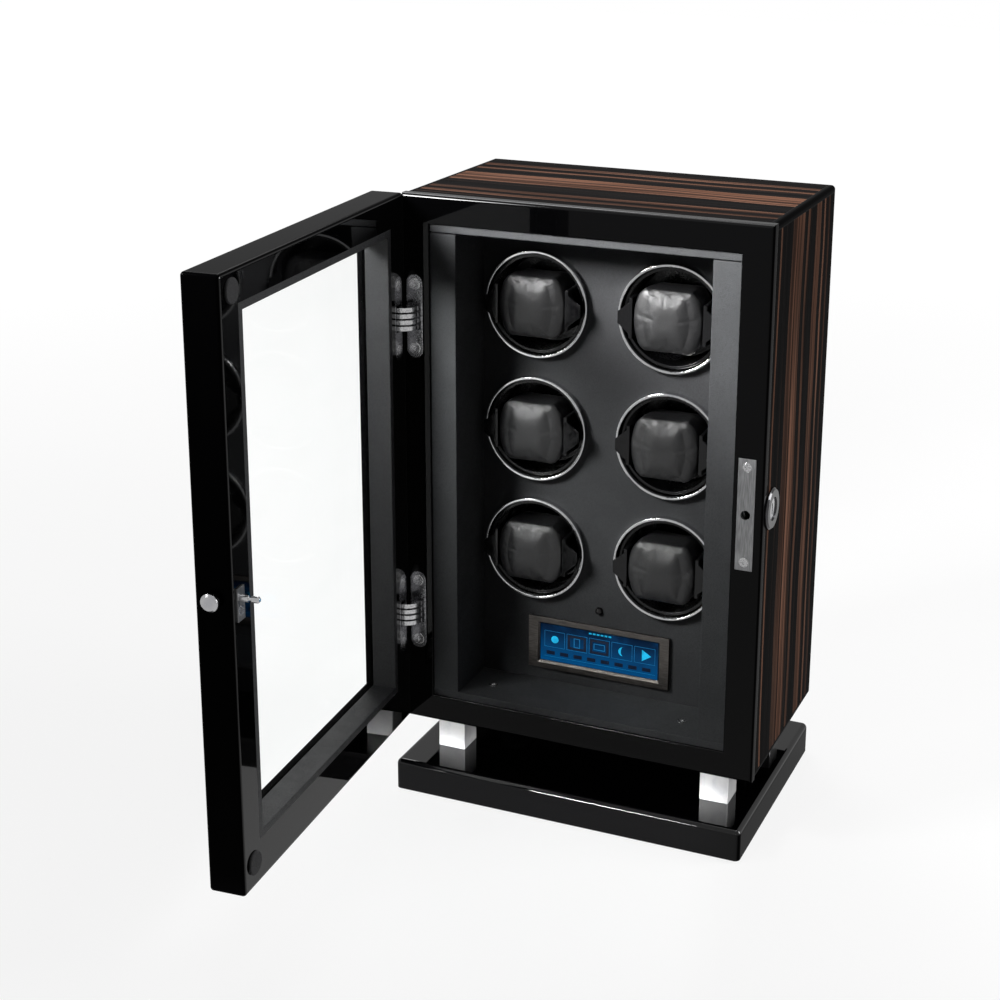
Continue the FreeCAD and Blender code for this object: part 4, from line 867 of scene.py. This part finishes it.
plate_steel = machined("lock_plate_brushed", (0.36, 0.363, 0.37), 0.30, 0.42, (1.0, 1.0, 0.06))
dress(plate_steel, "lock_plate", "lock_case", "lock_bolt", "strike_plate")
dress(plating("escutcheon_dark_nickel", (0.10, 0.10, 0.103), 0.08, 0.16), "lock_escutcheon")
nickel = plating("polished_nickel_plate", (0.74, 0.74, 0.75), 0.07, 0.16)
dress(nickel, "lock_plug")


# Door: a mitred frame in gloss black lacquer with a sheet of clear glass, held by a liner in leatherette.
# A turned knob stands on its free edge, with the strike plate and pin behind it.
# A felt dot in each free corner softens its fall against the case.

turned_inward = ("X", 0.80, 0.96)
dress(lacquer("door_gloss_black", 1.06, ((*turned_inward, 0.8),)), "door_frame")
dress(leatherette("liner_dark_leatherette", (0.019, 0.0195, 0.021), 0.5, 1100.0, 0.00008), "door_liner")


def window_glass():
    """Clear low-glare glass, a little green at its depth, with a trace of wiping on its faces."""
    material, tree, shader, place = new_finish("window_clear_glass", 0.0, ior=1.2, Transmission_Weight=1.0)
    wipe = put(tree, "VectorMath", {0: place, 1: (1.0, 0.4, 2.2)}, operation="MULTIPLY").outputs["Vector"]
    smear = put(tree, "TexNoise", {"Vector": wipe, "Scale": 26.0, "Detail": 6.0}).outputs[0]
    wiped = spread(tree, smear, 0.4, 0.8)
    tint = blend_colour(tree, wiped, (0.985, 0.995, 0.99, 1), (0.970, 0.982, 0.976, 1))
    tree.links.new(tint, shader.inputs["Base Color"])
    rough = spread(tree, smear, 0.45, 0.85, 0.0, 0.02)
    tree.links.new(rough, shader.inputs["Roughness"])
    clear = put(tree, "BsdfTransparent", {"Color": (0.97, 0.98, 0.975, 1)})
    ray = put(tree, "LightPath").outputs
    passing = calc(tree, "MAXIMUM", ray["Is Shadow Ray"], ray["Is Diffuse Ray"])
    either = put(tree, "MixShader", {0: passing, 1: shader.outputs[0], 2: clear.outputs[0]})
    tree.links.new(either.outputs[0], tree.nodes["Material Output"].inputs["Surface"])
    return material


dress(window_glass(), "door_glass")
dress(nickel, "door_knob", "strike_pin")
dress(felt("bumper_grey_felt", (0.030, 0.030, 0.031)), "door_bumpers")


# Hinges: two concealed hinges of cast zinc, with a leaf let into the case and a leaf let into the door.
# Curved links slide between the leaves, and cross-head screws hold each leaf.

hinge_zinc = machined("hinge_cast_zinc", (0.40, 0.40, 0.415), 0.16, 0.30, (1.0, 1.0, 0.5))
dress(hinge_zinc, "hinge_leaves_case", "hinge_leaves_door")
dress(machined("hinge_link_steel", (0.86, 0.86, 0.87), 0.14, 0.26, (1.0, 1.0, 0.5)), "hinge_links")
dress(screw_steel, "case_screws", "door_screws")


# Floor, light and camera: a floor and a studio that are white to the camera and grey in reflections.
# A soft key lamp stands front left and two low slit lamps light the base, with large soft lamps on the
# right, above and behind. The camera looks from the photograph's angle.

floor_mesh = bpy.data.meshes.new("pale_floor")
floor_reach = 6.0
floor_corners = [(x * floor_reach, y * floor_reach, 0) for x, y in ((-1, -1), (1, -1), (1, 1), (-1, 1))]
floor_mesh.from_pydata(floor_corners, [], [(0, 1, 2, 3)])
floor = bpy.data.objects.new("pale_floor", floor_mesh)
scene.collection.objects.link(floor)
floor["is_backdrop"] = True
mirror_level = 0.45
floor_paint, tree, shader, place = new_finish("floor_pale", 0.9, ior=1.2)
shade = put(tree, "TexNoise", {"Vector": place, "Scale": 3.0, "Detail": 3.0}).outputs[0]
paint = blend_colour(tree, shade, (0.13, 0.13, 0.13, 1), (0.15, 0.15, 0.15, 1))
tree.links.new(paint, shader.inputs["Base Color"])
ray = put(tree, "LightPath").outputs
away = put(tree, "VectorMath", {0: place}, operation="LENGTH").outputs["Value"]
seen = calc(tree, "MULTIPLY", ray["Is Camera Ray"], spread(tree, away, 0.4, 2.4, 0.84, 1.0))
mirrored = calc(tree, "MULTIPLY", ray["Is Glossy Ray"], mirror_level)
glow = calc(tree, "MAXIMUM", calc(tree, "MAXIMUM", seen, mirrored), ray["Is Transmission Ray"])
lift = put(tree, "Emission", {"Color": (1, 1, 1, 1), "Strength": glow})
both = put(tree, "AddShader", {0: shader.outputs[0], 1: lift.outputs[0]})
tree.links.new(both.outputs[0], tree.nodes["Material Output"].inputs["Surface"])
floor_mesh.materials.append(floor_paint)

world = bpy.data.worlds.new("studio")
scene.world = world
world.use_nodes = True
tree = world.node_tree
background = tree.nodes["Background"]
ray = put(tree, "LightPath").outputs
mirrored = calc(tree, "MULTIPLY", ray["Is Glossy Ray"], mirror_level)
seen = calc(tree, "MAXIMUM", ray["Is Camera Ray"], ray["Is Transmission Ray"])
seen = calc(tree, "MAXIMUM", seen, mirrored)
ambient = 0.025
tree.links.new(calc(tree, "MULTIPLY_ADD", seen, 1.0 - ambient, ambient), background.inputs["Strength"])
background.inputs["Color"].default_value = (1, 1, 1, 1)


def soft_lamp(name, place, aim, width, height, power, spread_degrees=180.0):
    """A rectangular soft lamp aimed at a point, with a grid that narrows its spread."""
    data = bpy.data.lights.new(name, "AREA")
    data.shape = "RECTANGLE"
    data.size = width
    data.size_y = height
    data.energy = power
    data.spread = math.radians(spread_degrees)
    lamp = bpy.data.objects.new(name, data)
    lamp.location = place
    lamp.rotation_euler = (Vector(aim) - Vector(place)).to_track_quat("-Z", "Y").to_euler()
    scene.collection.objects.link(lamp)


middle = Vector((0.0, 0.0, 0.26))
upper_front = Vector((0.06, -0.05, 0.68))
base_front = Vector((0.0, -0.06, 0.010))
base_left = Vector((-0.07, -0.06, 0.010))
soft_lamp(
    "key_lamp", (-0.50, -0.58, 0.88), upper_front, width=0.30, height=0.40, power=8.0,
    spread_degrees=64.0,
)
soft_lamp(
    "base_lamp_left", (-0.43, -1.30, 0.30), base_front, width=0.40, height=0.03, power=0.04,
    spread_degrees=9.0,
)
soft_lamp(
    "base_lamp_right", (0.20, -1.30, 0.10), base_left, width=0.36, height=0.03, power=0.25,
    spread_degrees=3.5,
)
soft_lamp("right_lamp", (1.35, 0.45, 0.62), middle, width=0.7, height=0.9, power=18.0)
soft_lamp("top_lamp", (0.1, 0.15, 1.7), middle, width=0.9, height=0.9, power=7.0)
soft_lamp("back_lamp", (-0.75, 0.95, 1.45), middle, width=0.8, height=0.8, power=8.0)

azimuth, elevation, roll = math.radians(22.51), math.radians(16.475), math.radians(0.466)
distance = 1.39335
focal_pixels = 1851.62
image_side = 1000
across_pixel, down_pixel = 547.39, 380.0
target = Vector((-0.052745, 0.0, 0.314371))
level = math.cos(elevation)
back = Vector((math.sin(azimuth) * level, -math.cos(azimuth) * level, math.sin(elevation)))
right = Vector((math.cos(azimuth), math.sin(azimuth), 0.0))
up = back.cross(right)
right_rolled = right * math.cos(roll) + up * math.sin(roll)
up_rolled = up * math.cos(roll) - right * math.sin(roll)
camera_data = bpy.data.cameras.new("camera")
sensor_side = 36.0
camera_data.sensor_width = sensor_side
camera_data.lens = focal_pixels * sensor_side / image_side
camera_data.shift_x = (image_side / 2 - across_pixel) / image_side
camera_data.shift_y = (down_pixel - image_side / 2) / image_side
camera_data.clip_start = 0.05
camera_data.clip_end = 60.0
camera = bpy.data.objects.new("camera", camera_data)
turned = Matrix((right_rolled, up_rolled, back)).transposed().to_4x4()
camera.matrix_world = Matrix.Translation(target + back * distance) @ turned
scene.collection.objects.link(camera)
scene.camera = camera
scene.view_settings.view_transform = "Standard"

low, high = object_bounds()
